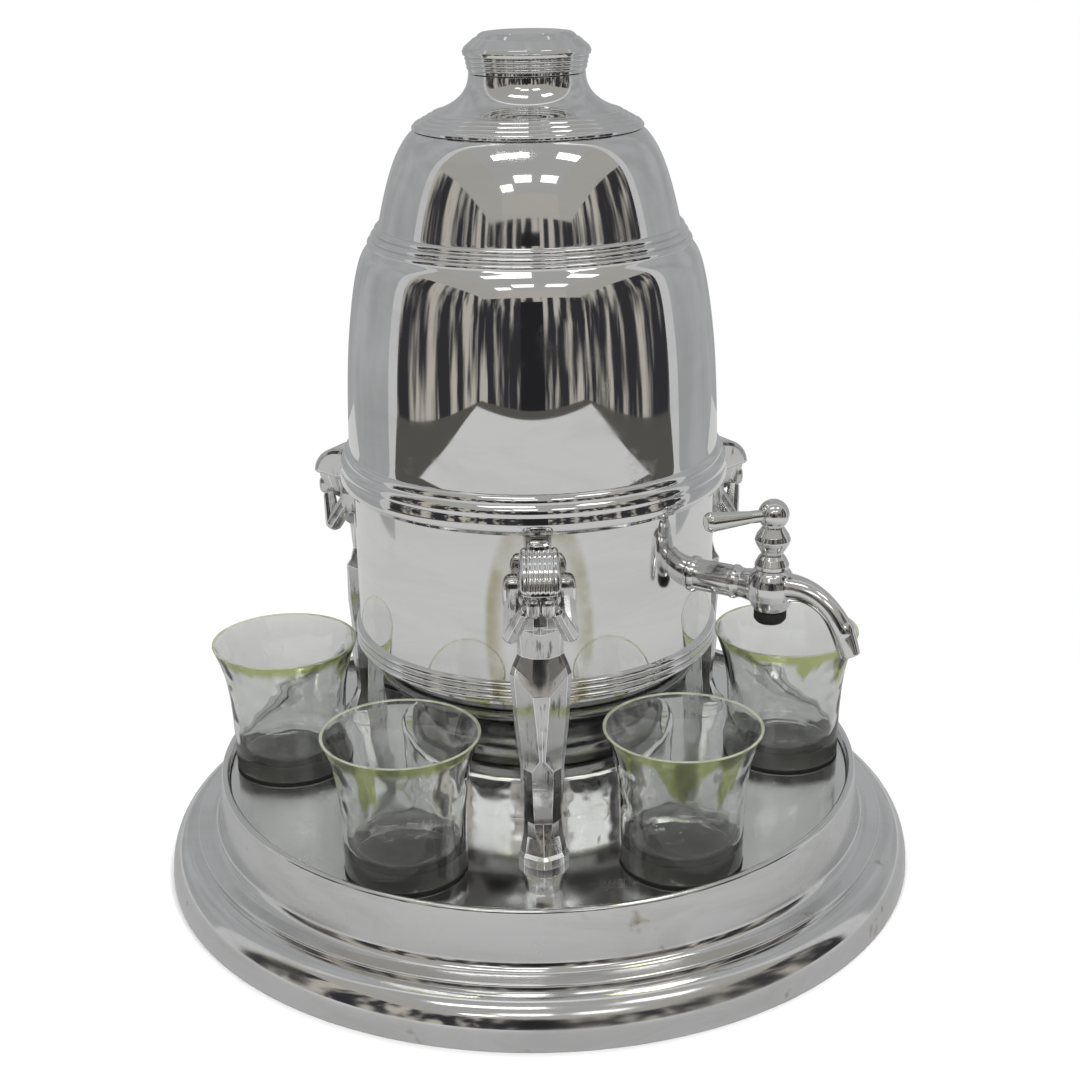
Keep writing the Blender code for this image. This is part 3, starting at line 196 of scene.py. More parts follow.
# Figure in millimetres: height, then outwards and sideways for the centre, strip, face, side and back corner
BODY_SECTIONS = [
    (37.02, 91.0, 90.2, 2.6, 87.5, 7.0, 83.2, 9.0, 76.0, 8.0),
    (40.3, 91.2, 90.4, 2.6, 87.4, 7.1, 83.2, 9.0, 76.0, 8.0),
    (41.4, 90.0, 89.0, 2.3, 86.5, 6.5, 82.7, 8.3, 76.2, 7.5),
    (46.5, 87.0, 85.8, 2.6, 83.6, 5.6, 80.8, 7.1, 76.3, 6.4),
    (51.5, 83.9, 83.7, 3.2, 81.2, 5.4, 79.4, 6.7, 76.4, 5.8),
    (55.5, 83.6, 83.4, 3.3, 80.8, 5.7, 79.2, 6.9, 76.0, 5.7),
    (66.0, 84.9, 84.7, 3.7, 81.4, 6.6, 79.2, 7.8, 74.8, 6.5),
    (72.6, 85.4, 85.1, 3.8, 81.8, 6.6, 79.4, 7.7, 75.2, 6.8),
    (77.2, 86.3, 86.1, 1.0, 81.6, 6.7, 79.6, 8.2, 75.4, 7.1),
    (89.0, 86.7, 86.5, 1.8, 81.4, 8.0, 79.6, 9.5, 74.6, 8.0),
]
# The slanting rings of the hips: height and outwards for the centre, then height, outwards and sideways
HIP_SECTIONS = [
    ((101.4, 85.0), (101.2, 84.8, 2.9), (107.4, 80.9, 9.2), (107.8, 79.4, 10.7), (106.0, 74.0, 9.2)),
    ((105.6, 82.8), (105.6, 82.6, 3.1), (109.8, 79.4, 8.5), (110.4, 78.2, 9.8), (109.0, 73.6, 8.4)),
    ((113.4, 80.3), (113.4, 80.2, 2.6), (114.2, 79.2, 6.6), (114.6, 77.7, 8.0), (114.6, 72.8, 7.2)),
    ((122.2, 80.7), (122.8, 80.6, 2.4), (124.0, 79.8, 6.9), (122.4, 77.4, 8.2), (122.3, 71.2, 7.2)),
]
CHEST_SECTIONS = [
    (124.9, 79.8, 82.4, 2.3, 82.0, 6.6, 77.0, 8.0, 69.4, 7.0),
    (131.7, 78.4, 81.4, 2.3, 81.0, 6.2, 76.4, 8.4, 69.2, 7.4),
    (138.8, 77.2, 78.6, 2.3, 78.4, 6.6, 74.8, 8.6, 69.6, 7.8),
    (142.0, 76.0, 76.0, 2.6, 76.0, 6.4, 74.4, 8.2, 70.0, 7.4),
    (145.3, 76.0, 76.0, 2.2, 75.6, 4.4, 74.0, 6.0, 70.6, 5.6),
    (147.0, 77.4, 77.2, 1.7, 76.8, 3.0, 75.2, 3.7, 72.0, 3.0),
    (150.5, 79.4, 79.2, 1.7, 78.8, 3.0, 77.2, 3.7, 74.6, 3.0),
]
# Hair seen from the side: outwards and up, from the nape over the crown to the fringe and back beneath
HAIR_OUTLINE = [
    (76.6, 145.4), (76.0, 149.6), (77.6, 153.2), (81.6, 154.7), (86.6, 154.2), (91.2, 152.4), (94.4, 149.4),
    (96.1, 146.2), (96.5, 143.6),
]
FRINGE_UNDERSIDE = [(95.3, 142.9), (92.0, 142.6), (86.0, 141.6), (80.0, 142.4)]
HAIR_CENTRE = (86.5, 147.0)
HAIR_HALF_WIDTH = 6.8
# Rounding of the hair's side: share of the half width, and size of the outline there
HAIR_SIDE = [(-1.0, 0.72), (-0.93, 0.9), (-0.82, 0.985), (-0.72, 1.0)]
FLUTE_HALF_WIDTH = 4.1
FLUTE_COUNT = 5
FLUTE_STEPS = 6
FLUTE_DEPTH_SHARE = 0.055
FLUTE_POWER = 1.5
# Blocks: height, front, its half width, back and its half width
FACE_SECTIONS = [
    (143.2, 94.6, 5.7, 84.0, 5.4), (141.9, 94.9, 5.6, 84.0, 5.4), (139.6, 93.4, 5.2, 84.0, 5.2),
    (136.4, 92.6, 4.2, 84.0, 4.6), (134.0, 90.6, 2.8, 84.4, 3.6), (133.2, 88.6, 2.2, 85.0, 2.8),
]
CROWN_SECTIONS = [(153.2, 84.4, 3.4, 77.2, 3.4), (155.4, 83.8, 3.2, 78.0, 3.2), (155.9, 82.8, 2.4, 79.0, 2.4)]
BLOCK_FRONT_SHARE = 0.55
BLOCK_CHAMFER = 0.9
BLOCK_SWELL = 0.6
ARM_POINTS = ((76.4, 8.9, 137.6), (85.6, 10.0, 124.2), (90.0, 5.4, 134.8))
ARM_SIZES = (((3.1, 3.6), (3.1, 3.3)), ((2.9, 3.2), (2.3, 2.5)))
# Bars: angles of their edges, and stations along them with the share of the size there
BAR_TURNS = (20, 70, 110, 160, 200, 250, 290, 340)
BAR_STOPS = ((-0.5, 0.62), (0.0, 1.0), (1.0, 1.0), (1.5, 0.66))
# Soft blocks: centre and half sizes, outwards, sideways and up
SHOULDER_PAD = ((76.6, 8.7, 136.4), (4.3, 3.9, 6.5))
HAND = ((92.9, 2.45, 137.4), (2.9, 2.4, 3.5))
SOFT_BLOCK_POWER = 0.62
LUG_RADIUS = 4.2
LUG_HEIGHT = 135.5
LUG_BED = 1.2
LUG_REACH = 78.0
FIGURE_BEVEL = 0.38
BEVEL_ANGLE = math.radians(12)

# Finishes of chrome and how each is worn; dark scales the colour, painting shade below 1 and light above 1
CHROMES = {
    "urn_chrome": dict(haze=0.05, film=0.35, scratches=0.35, stains=0.1),
    "drum_chrome": dict(haze=0.06, film=0.4, scratches=0.4, stains=0.15, halo=True),
    "tray_chrome": dict(polish=0.08, haze=0.12, film=0.4, scratches=0.65, stains=0.2),
    "pan_chrome": dict(
        polish=0.06, haze=0.12, film=0.6, scratches=0.5, stains=0.5, stain_scale=46.0,
        dull_walls=(0.022, 0.0385, 0.1)),
    # The pedestal: worn, and its colour raised by dark, painted light
    "worn_chrome": dict(
        polish=0.07, haze=0.1, film=0.3, scratches=0.6, stains=0.5, stain_scale=90.0, dark=1.12, patina=0.1,
        dents=(110.0, 1.0)),
    # The figures: rubbed patina, and their colour lowered by dark, painted shade on the broad facets
    "cast_chrome": dict(
        polish=0.1, haze=0.14, film=0.35, scratches=0.6, stains=0.45, stain_scale=150.0, dark=0.88,
        patina=0.42, dents=(150.0, 0.12)),
    # The figures' bevelled edges: polished, and their colour raised by dark, a painted highlight along each
    # edge
    "edge_chrome": dict(polish=0.06, haze=0.05, film=0.0, scratches=0.3, stains=0.1, dark=1.22),
    "tap_chrome": dict(polish=0.07, haze=0.1, film=0.3, scratches=0.4, stains=0.25, stain_scale=120.0),
    # The urn's foot: its colour cut to 0.3 by dark, painted shade in the hollow neck under the urn
    "neck_chrome": dict(polish=0.12, haze=0.12, film=0.5, scratches=0.3, stains=0.1, dark=0.3),
}
SCRATCH_ROUGHNESS = 0.22
STAIN_ROUGHNESS = 0.18
# Directions of the scratches: how each set is turned and stretched
SCRATCH_SETS = (
    ((0.3, 0.5, 0.2), (900, 60, 700)), ((1.1, -0.4, 0.9), (60, 1100, 800)),
    ((-0.6, 1.2, -0.5), (700, 800, 50)),
)
# The oval stain round each figure in metres, and how it fades outwards and inwards
HALO_SIZES = (0.02, 0.0182, 0.046)
HALO_CENTRE = (0.067, 0, 0.117)
HALO_INNER = (0.6, 0.96)
HALO_OUTER = (0.97, 1.1)
DRIP_LENGTH = 0.018
DUST_COLOR = (0.11, 0.105, 0.09)
GLASS_IOR = 1.5

# Camera worked out from the turned outlines in the photograph
PHOTO_PIXELS = 1080
FOCAL_PIXELS = 1772.2
PHOTO_SHIFT_PIXELS = 80.59
CAMERA_DISTANCE = 0.6335
CAMERA_HEIGHT = 0.35534
CAMERA_PITCH = 22.369
CAMERA_ROLL = -0.88
CAMERA_AZIMUTH = -1.01
CAMERA_YAW = 0.144
SENSOR_MM = 36

# Studio in metres: the floor turns plain white between these distances, and its reflection brightens there
# out of a painted shadow close to the foot
FLOOR_RADIUS = 6.0
FLOOR_FADE = (0.17, 0.34)
FLOOR_CARD_SHADOW_FADE = (0.14, 0.34)
WHITE = (1, 1, 1)
# Corners of the pale tent behind the dispenser, and of the cards that lie on the floor
TENT = ((-0.45, 0.02), (-0.5, 0.62), (0.5, 0.62), (0.45, 0.02))
TENT_HEIGHT = 0.8
FLOOR_CARD = ((-0.85, -1.28), (0.85, -1.28), (0.6, 0.02), (0.5, 0.62), (-0.5, 0.62), (-0.6, 0.02))
# Colour of the mirrored floor close to the foot: a painted shadow
FLOOR_CARD_SHADOW = (0.46, 0.46, 0.46)
FLOOR_FAR = (0.64, 0.64, 0.635)
DARK_FLOOR = ((-1.0, -1.5), (1.0, -1.5), (1.0, 0.0), (-1.0, 0.0))
# Soft streaks on cards: scale, where they begin and end, and their colour
DARK_STREAKS = ((7.5, 7.5, 1.5), 0.43, 0.6, (0.5, 0.47, 0.42))
# Upright cards of the room in front: start, end, foot, top, and their light where it is not the dark one
ROOM = {
    "rim_left": ((-1.0, -0.03), (-0.45, 0.02), 0.0, 1.6, (0.6, 0.6, 0.6)),
    "rim_right": ((0.45, 0.02), (1.0, -0.03), 0.0, 1.6, (0.6, 0.6, 0.6)),
    "dark_left": ((-1.0, -0.03), (-0.9, -1.5), 0.0, 0.8),
    "dark_right": ((0.9, -1.5), (1.0, -0.03), 0.0, 0.8),
    "dark_front": ((-0.9, -1.5), (0.9, -1.5), 0.0, 0.8),
    "flag": ((-0.19, -1.48), (0.17, -1.48), 0.0, 0.7, (0.02, 0.02, 0.022)),
    "far_front": ((-1.0, -2.4), (1.0, -2.4), 0.3, 1.6, (0.46, 0.44, 0.4)),
    "far_left": ((-1.0, -0.03), (-1.0, -2.4), 0.3, 1.6, (0.42, 0.41, 0.38)),
    "far_right": ((1.0, -2.4), (1.0, -0.03), 0.3, 1.6, (0.42, 0.41, 0.38)),
}
CEILING = ((-1.0, -2.4), (1.0, -2.4), (1.0, 0.02), (-1.0, 0.02))
CEILING_HEIGHT = 1.6
# Panels of light overhead: place, half width and half depth
CEILING_LIGHTS = (
    (-0.34, -0.68, 0.34, 0.11), (0.74, -0.66, 0.24, 0.13), (-0.2, -1.75, 0.24, 0.16),
    (0.56, -1.75, 0.24, 0.16), (-0.76, -2.1, 0.2, 0.14),
)
LIGHTS_HEIGHT = 1.59
# Lamps: place, size and power; all aim at one point
LAMPS = {
    "lamp_left": ((-0.45, -0.75, 1.28), (0.3, 0.12), 5.0),
    "lamp_right": ((0.4, -0.55, 1.28), (0.3, 0.12), 5.0),
    "lamp_middle": ((-0.05, -1.15, 1.28), (0.4, 0.12), 4.0),
    "lamp_back": ((0.1, 0.35, 1.2), (0.6, 0.4), 6.0),
}
LAMP_AIM = (0, 0, 0.1)


def low_of(node):
    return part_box(node)[0]


def high_of(node):
    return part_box(node)[1]


def glass_ring_radius():
    """How far out the glasses stand, from the box of the one that stands straight out at the left."""
    low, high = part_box("glass_5")
    centre = (low + high) / 2
    return math.hypot(centre.x, centre.y)


def color_setting(name, description, default):
    return bpy.props.FloatVectorProperty(name=name, description=description, default=default, subtype="COLOR")


def length_setting(name, description, default):
    return bpy.props.FloatProperty(name=name, description=description, default=default, unit="LENGTH")


class UrnSettings(bpy.types.PropertyGroup):
    ring_radius: length_setting(
        "Glass ring radius", "Distance of each glass from the urn's axis", glass_ring_radius())
    well_depth: length_setting("Well depth", "Depth of the recess under each pad", 0.0005)


class ChromeSettings(bpy.types.PropertyGroup):
    color: color_setting("Chrome", "Colour of clean chrome", (0.8, 0.8, 0.8))
    dull_color: color_setting("Dull chrome", "Colour of chrome under a thin film", (0.66, 0.66, 0.65))
    tarnish_color: color_setting("Tarnish", "Colour of the yellow brown stains", (0.38, 0.29, 0.15))
    halo_color: color_setting("Halo", "Colour of the stain round each figure", (0.48, 0.45, 0.3))
    patina_color: color_setting("Patina", "Colour of rubbed and dirty castings", (0.27, 0.26, 0.24))
    polish: bpy.props.FloatProperty(
        name="Polish roughness", description="Roughness of the best polished chrome", default=0.025,
        min=0.0, max=1.0)
    steel_color: color_setting("Steel", "Colour of the hidden fixings", (0.5, 0.5, 0.49))


class GlassSettings(bpy.types.PropertyGroup):
    color: color_setting("Glass", "Tint of the clear body", (0.975, 0.985, 0.97))
    rim_color: color_setting("Rim", "Yellow green tint of the flared rim", (0.4, 0.47, 0.1))
    # The lip's pale colour is a painted highlight along the rim's edge
    lip_highlight_color: color_setting("Lip", "Colour of the melted edge of the rim", (0.7, 0.74, 0.56))
    rim_depth: length_setting("Rim depth", "How far the tint runs down from the rim", 0.005)
    pad_color: color_setting("Pad", "Colour of the pads and the tap's cap", (0.016, 0.016, 0.014))


class StudioSettings(bpy.types.PropertyGroup):
    floor_color: color_setting("Floor", "Colour of the plain floor", (0.86, 0.86, 0.86))
    tent_color: color_setting("Tent", "Light given by the pale cards beside and behind", (0.45, 0.455, 0.46))
    dark_color: color_setting("Dark card", "Light given by the dark cards in front", (0.035, 0.035, 0.04))
    world_strength: bpy.props.FloatProperty(
        name="World", description="Strength of the even light on matt surfaces", default=0.62, min=0.0)


def flat_point(item):
    return Vector((item[0], item[1])) * MM


def rounded(outline):
    """Points in metres of an outline in millimetres, with its corners rounded where a radius is given."""
    count = len(outline)
    points = []
    for i, item in enumerate(outline):
        corner = flat_point(item)
        radius = item[2] * MM if len(item) > 2 else 0
        if radius == 0 or i in (0, count - 1):
            points.append(corner)
            continue
        before = flat_point(outline[i - 1]) - corner
        after = flat_point(outline[i + 1]) - corner
        half = before.angle(after) / 2
        back = min(radius / math.tan(half), CORNER_SHARE * before.length, CORNER_SHARE * after.length)
        start = corner + before.normalized() * back
        end = corner + after.normalized() * back
        for step in range(CORNER_STEPS + 1):
            way = step / CORNER_STEPS
            points.append(start.lerp(corner, way).lerp(corner.lerp(end, way), way))
    return points


def bulged(start, end, rise, steps=REED_STEPS):
    """An arc between two points in millimetres that stands out to the right of a run down the outline."""
    start, end = Vector(start), Vector(end)
    along = end - start
    outward = Vector((-along.y, along.x)).normalized()
    half = along.length / 2
    radius = (half * half + rise * rise) / (2 * rise)
    centre = (start + end) / 2 - outward * (radius - rise)
    sweep = 2 * math.atan2(half, radius - rise)
    points = []
    for step in range(steps + 1):
        turn = sweep * (0.5 - step / steps)
        points.append(tuple(centre + Matrix.Rotation(turn, 2) @ outward * radius))
    return points


def arc_run(arcs):
    """Arcs that follow each other, each given by its ends and its rise, without doubled points."""
    points = []
    for arc in arcs:
        points += bulged(*arc)[1 if points else 0:]
    return points


def reed_run(start, end, count, rise):
    """Equal reeds side by side along a straight line."""
    start, end = Vector(start), Vector(end)
    return arc_run((start.lerp(end, i / count), start.lerp(end, (i + 1) / count), rise) for i in range(count))


def smooth_run(points, steps=4):
    """A fair curve close to the given points, through the first and the last."""
    knots = [Vector(point) for point in points]
    knots = [2 * knots[0] - knots[1]] + knots + [2 * knots[-1] - knots[-2]]
    made = []
    for a, b, c, d in zip(knots, knots[1:], knots[2:], knots[3:]):
        for step in range(steps):
            t = step / steps
            shares = ((1 - t) ** 3, 3 * t ** 3 - 6 * t ** 2 + 4, -3 * t ** 3 + 3 * t ** 2 + 3 * t + 1, t ** 3)
            made.append(tuple(sum((knot * share for knot, share in zip((a, b, c, d), shares)), 0 * a) / 6))
    made.append(tuple(points[-1]))
    return made


def roll_run(turns, inset, power):
    """Points of the pan's roll, drawn in by the inset, at these angles above the table."""
    centre, reach, rise = PAN_ROLL
    points = []
    for degrees in turns:
        out, up = (part(math.radians(degrees)) ** power for part in (math.cos, math.sin))
        points.append((centre + (reach - inset) * out, (rise - inset) * up))
    return points


def finish_mesh(mesh, angle=SHARP_ANGLE):
    for polygon in mesh.polygons:
        polygon.use_smooth = True
    mesh.set_sharp_from_angle(angle=angle)


def baked(shape, name):
    """The mesh of a shape that is finished with."""
    mesh = bpy.data.meshes.new(name)
    shape.to_mesh(mesh)
    shape.free()
    return mesh


def joined(name, meshes):
    shape = bmesh.new()
    for mesh in meshes:
        shape.from_mesh(mesh)
    return baked(shape, name)


def place_object(name, data):
    item = bpy.data.objects.new(name, data)
    bpy.context.scene.collection.objects.link(item)
    return item


def link(name, mesh, material):
    mesh.materials.append(material)
    return place_object(name, mesh)


def turned_mesh(name, outline, segments=ROUND_SEGMENTS):
    """A closed surface turned about Z from an outline in metres; ends on the axis stay open there."""
    shape = bmesh.new()
    on_axis = outline[0][0] == 0 and outline[-1][0] == 0
    verts = [shape.verts.new((r, 0, z)) for r, z in outline]
    pairs = list(zip(verts, verts[1:])) + ([] if on_axis else [(verts[-1], verts[0])])
    edges = [shape.edges.new(pair) for pair in pairs if (pair[0].co - pair[1].co).length > WELD]
    bmesh.ops.spin(
        shape, geom=verts + edges, cent=(0, 0, 0), axis=(0, 0, 1), angle=math.tau, steps=segments,
        use_duplicate=False)
    bmesh.ops.remove_doubles(shape, verts=shape.verts, dist=WELD)
    bmesh.ops.dissolve_degenerate(shape, dist=WELD, edges=shape.edges)
    bmesh.ops.recalc_face_normals(shape, faces=shape.faces)
    mesh = baked(shape, name)
    finish_mesh(mesh)
    return mesh


def keep_flats(piece):
    """Shade the broad faces flat and let only the narrow rounding between them bend the light."""
    weighted = piece.modifiers.new("keep_flats", "WEIGHTED_NORMAL")
    weighted.keep_sharp = True
    return piece


def seat(piece, body, slot, *nodes):
    """Let a fine piece ride on a body in place of the CAD nodes it stands for."""
    if nodes:
        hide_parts(*nodes)
    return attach(piece, body)


def turned(name, outline, finish, segments=ROUND_SEGMENTS, place=None):
    """A turned piece from an outline in metres."""
    piece = keep_flats(link(name, turned_mesh(name, outline, segments), bpy.data.materials[finish]))
    if place is not None:
        piece.matrix_world = place
    return piece


def stand_in(node, outline, finish, body="stand", slot="chrome", **more):
    """A turned piece that stands for the CAD node whose name it takes."""
    return seat(turned(node + "_fine", outline, finish, **more), body, slot, node)


def station(degrees):
    return Matrix.Rotation(math.radians(degrees), 4, "Z")


def glass_station(i):
    return station(FIRST_GLASS_DEGREES + i * 360 / GLASS_COUNT)


def loft_mesh(name, rings):
    """Skin rings of equal counts, given in metres, into one closed body."""
    shape = bmesh.new()
    rows = [[shape.verts.new(point) for point in ring] for ring in rings]
    count = len(rows[0])
    for low, high in zip(rows, rows[1:]):
        for i in range(count):
            j = (i + 1) % count
            shape.faces.new((low[i], low[j], high[j], high[i]))
    shape.faces.new(rows[0][::-1])
    shape.faces.new(rows[-1])
    bmesh.ops.recalc_face_normals(shape, faces=shape.faces)
    return baked(shape, name)


def tube_mesh(name, path, segments=SMALL_SEGMENTS):
    """A round tube in the XZ plane of the tap along points of outwards, up and radius, in millimetres."""
    rings = []
    for i, (x, z, radius) in enumerate(path):
        before, after = (Vector(path[j][:2]) for j in (max(i - 1, 0), min(i + 1, len(path) - 1)))
        along = (after - before).normalized()
        across = Vector((-along.y, 0, along.x))
        ring = []
        for step in range(segments):
            turn = math.tau * step / segments
            spoke = across * math.cos(turn) + Vector((0, math.sin(turn), 0))
            ring.append((Vector((x, 0, z)) + radius * spoke) * MM)
        rings.append(ring)
    return loft_mesh(name, rings)


def applied(piece):
    """The mesh that a piece's modifiers make."""
    return bpy.data.meshes.new_from_object(piece.evaluated_get(bpy.context.evaluated_depsgraph_get()))


def merged(name, meshes):
    """One cast skin over several overlapping meshes, with soft fillets where they meet."""
    holder = place_object(name, joined(name, meshes))
    remesh = holder.modifiers.new("cast", "REMESH")
    remesh.mode = "VOXEL"
    remesh.voxel_size = VOXEL
    soften = holder.modifiers.new("soften", "SMOOTH")
    soften.iterations = SOFTENING_ROUNDS
    skin = applied(holder)
    bpy.data.objects.remove(holder, do_unlink=True)
    return skin


def cut_away(piece, meshes):
    """Take these shapes, given in the piece's own place, out of it."""
    cutters = []
    for mesh in meshes:
        cutter = place_object(mesh.name, mesh)
        cutter.matrix_world = piece.matrix_world
        cut = piece.modifiers.new("cut", "BOOLEAN")
        cut.operation = "DIFFERENCE"
        cut.solver = "EXACT"
        cut.object = cutter
        cutters.append(cutter)
    bpy.context.view_layer.update()
    piece.data = applied(piece)
    piece.modifiers.clear()
    for cutter in cutters:
        bpy.data.objects.remove(cutter, do_unlink=True)


def set_inputs(tree, node, inputs):
    """Give a node's inputs their values, or link them where a socket is given."""
    for key, value in inputs.items():
        socket = node.inputs[key]
        if isinstance(value, bpy.types.NodeSocket):
            tree.links.new(value, socket)
        elif socket.type == "RGBA":
            socket.default_value = (*value, 1.0)
        else:
            socket.default_value = value


def add(tree, kind, inputs=None, **settings):
    """A node with its settings and inputs."""
    made = tree.nodes.new(kind)
    for key, value in settings.items():
        setattr(made, key, value)
    set_inputs(tree, made, inputs or {})
    return made


def math_node(tree, operation, *values):
    return add(tree, "ShaderNodeMath", dict(enumerate(values)), operation=operation).outputs[0]


def times(tree, first, second):
    return math_node(tree, "MULTIPLY", first, second)


def plus(tree, first, second):
    return math_node(tree, "ADD", first, second)


def less(tree, first, second):
    return math_node(tree, "SUBTRACT", first, second)


def highest(tree, first, *others):
    for other in others:
        first = math_node(tree, "MAXIMUM", first, other)
    return first


def ramp(tree, value, low, high):
    """A soft step from 0 at low to 1 at high."""
    inputs = {"Value": value, "From Min": low, "From Max": high}
    return add(tree, "ShaderNodeMapRange", inputs, interpolation_type="SMOOTHSTEP").outputs[0]


def mix_color(tree, share, first, second):
    return add(tree, "ShaderNodeMix", {0: share, 6: first, 7: second}, data_type="RGBA").outputs[2]


def shaded(color, share):
    return tuple(share * part for part in color)


def object_place(tree):
    return add(tree, "ShaderNodeTexCoord").outputs["Object"]


def mapped(tree, place, **inputs):
    return add(tree, "ShaderNodeMapping", {"Vector": place, **inputs}).outputs[0]


def noise(tree, place, scale=1.0, detail=2.0, **inputs):
    inputs = {"Vector": place, "Scale": scale, "Detail": detail, **inputs}
    return add(tree, "ShaderNodeTexNoise", inputs).outputs["Fac"]


def length_of(tree, place):
    return add(tree, "ShaderNodeVectorMath", {0: place}, operation="LENGTH").outputs["Value"]


def height_of(tree, place):
    return add(tree, "ShaderNodeSeparateXYZ", {0: place}).outputs["Z"]


def bumped(tree, height, strength, distance, invert=False, **inputs):
    inputs = {"Height": height, "Strength": strength, "Distance": distance, **inputs}
    return add(tree, "ShaderNodeBump", inputs, invert=invert).outputs[0]


def seen_rays(tree):
    """1 on the rays that show a surface straight, mirrored or through glass."""
    path = add(tree, "ShaderNodeLightPath").outputs
    return highest(tree, path["Is Camera Ray"], path["Is Glossy Ray"], path["Is Transmission Ray"])


def new_group(name, **inputs):
    """A shader group with float inputs and one mask: its tree, its inputs and where the mask goes."""
    tree = bpy.data.node_groups.new(name, "ShaderNodeTree")
    for label, value in inputs.items():
        socket = tree.interface.new_socket(name=label, in_out="INPUT", socket_type="NodeSocketFloat")
        socket.default_value = value
    tree.interface.new_socket(name="Mask", in_out="OUTPUT", socket_type="NodeSocketFloat")
    return tree, add(tree, "NodeGroupInput").outputs, add(tree, "NodeGroupOutput").inputs["Mask"]


def mask(tree, name, **inputs):
    """The mask of a shared effect."""
    return add(tree, "ShaderNodeGroup", inputs, node_tree=bpy.data.node_groups[name]).outputs["Mask"]


def make_scratch_group():
    """Hair-fine scratches in several directions: a mask, 1 on a scratch."""
    tree, given, target = new_group("fine_scratches", Density=0.5)
    place = object_place(tree)
    lines = []
    for turn, stretch in SCRATCH_SETS:
        grey = noise(tree, mapped(tree, place, Rotation=turn, Scale=stretch), detail=1.0)
        distance = math_node(tree, "ABSOLUTE", less(tree, grey, 0.5))
        lines.append(less(tree, 1.0, ramp(tree, distance, 0.0, 0.012)))
    edge = less(tree, 0.75, times(tree, given["Density"], 0.45))
    gate = ramp(tree, noise(tree, place, 55.0), edge, 0.8)
    tree.links.new(times(tree, highest(tree, *lines), gate), target)


def make_film_group():
    """The uneven film that wiping leaves: broad soft smears along the turned surface."""
    tree, given, target = new_group("wiped_film", Scale=1.0)
    place = mapped(tree, object_place(tree), Scale=(18, 18, 60))
    scaled = add(tree, "ShaderNodeVectorMath", {0: place, "Scale": given["Scale"]}, operation="SCALE")
    smears = noise(tree, scaled.outputs[0], detail=5.0, Roughness=0.62, Distortion=0.8)
    tree.links.new(ramp(tree, smears, 0.38, 0.72), target)


def make_stain_group():
    """Small yellow brown stains where the plating has suffered."""
    tree, given, target = new_group("plating_stains", Coverage=0.3, Scale=60.0)
    place = object_place(tree)
    edge = less(tree, 0.86, times(tree, given["Coverage"], 0.4))
    broad = noise(tree, place, given["Scale"], 3.0, Roughness=0.6)
    spot = ramp(tree, broad, edge, plus(tree, edge, 0.08))
    tree.links.new(times(tree, spot, ramp(tree, noise(tree, place, 420.0), 0.3, 0.6)), target)


def make_patina_group():
    """Dull upright streaks on castings whose plating is rubbed thin."""
    tree, given, target = new_group("rubbed_patina", Coverage=0.5)
    place = object_place(tree)
    streaks = noise(tree, mapped(tree, place, Scale=(420, 420, 70)), detail=4.0, Roughness=0.65)
    both = times(tree, streaks, plus(tree, noise(tree, place, 130.0, 1.0), 0.5))
    edge = less(tree, 0.72, times(tree, given["Coverage"], 0.4))
    tree.links.new(ramp(tree, both, edge, plus(tree, edge, 0.16)), target)


def halo_mask(tree, place):
    """A soft oval ring round each figure, where handling has stained the drum: 1 on the ring."""
    rings = []
    for degrees in FIGURES.values():
        oval = add(
            tree, "ShaderNodeMapping", {
                "Vector": mapped(tree, place, Rotation=(0, 0, math.radians(-degrees))),
                "Location": HALO_CENTRE, "Scale": HALO_SIZES},
            vector_type="TEXTURE")
        far = length_of(tree, oval.outputs[0])
        rings.append(times(tree, ramp(tree, far, *HALO_INNER), less(tree, 1.0, ramp(tree, far, *HALO_OUTER))))
    return highest(tree, *rings)


def new_finish(name, **inputs):
    """The node tree and the shader of a new material, with these inputs of the shader set."""
    material = bpy.data.materials.new(name)
    material.use_nodes = True
    tree = material.node_tree
    shader = tree.nodes["Principled BSDF"]
    set_inputs(tree, shader, {key.replace("_", " "): value for key, value in inputs.items()})
    return tree, shader


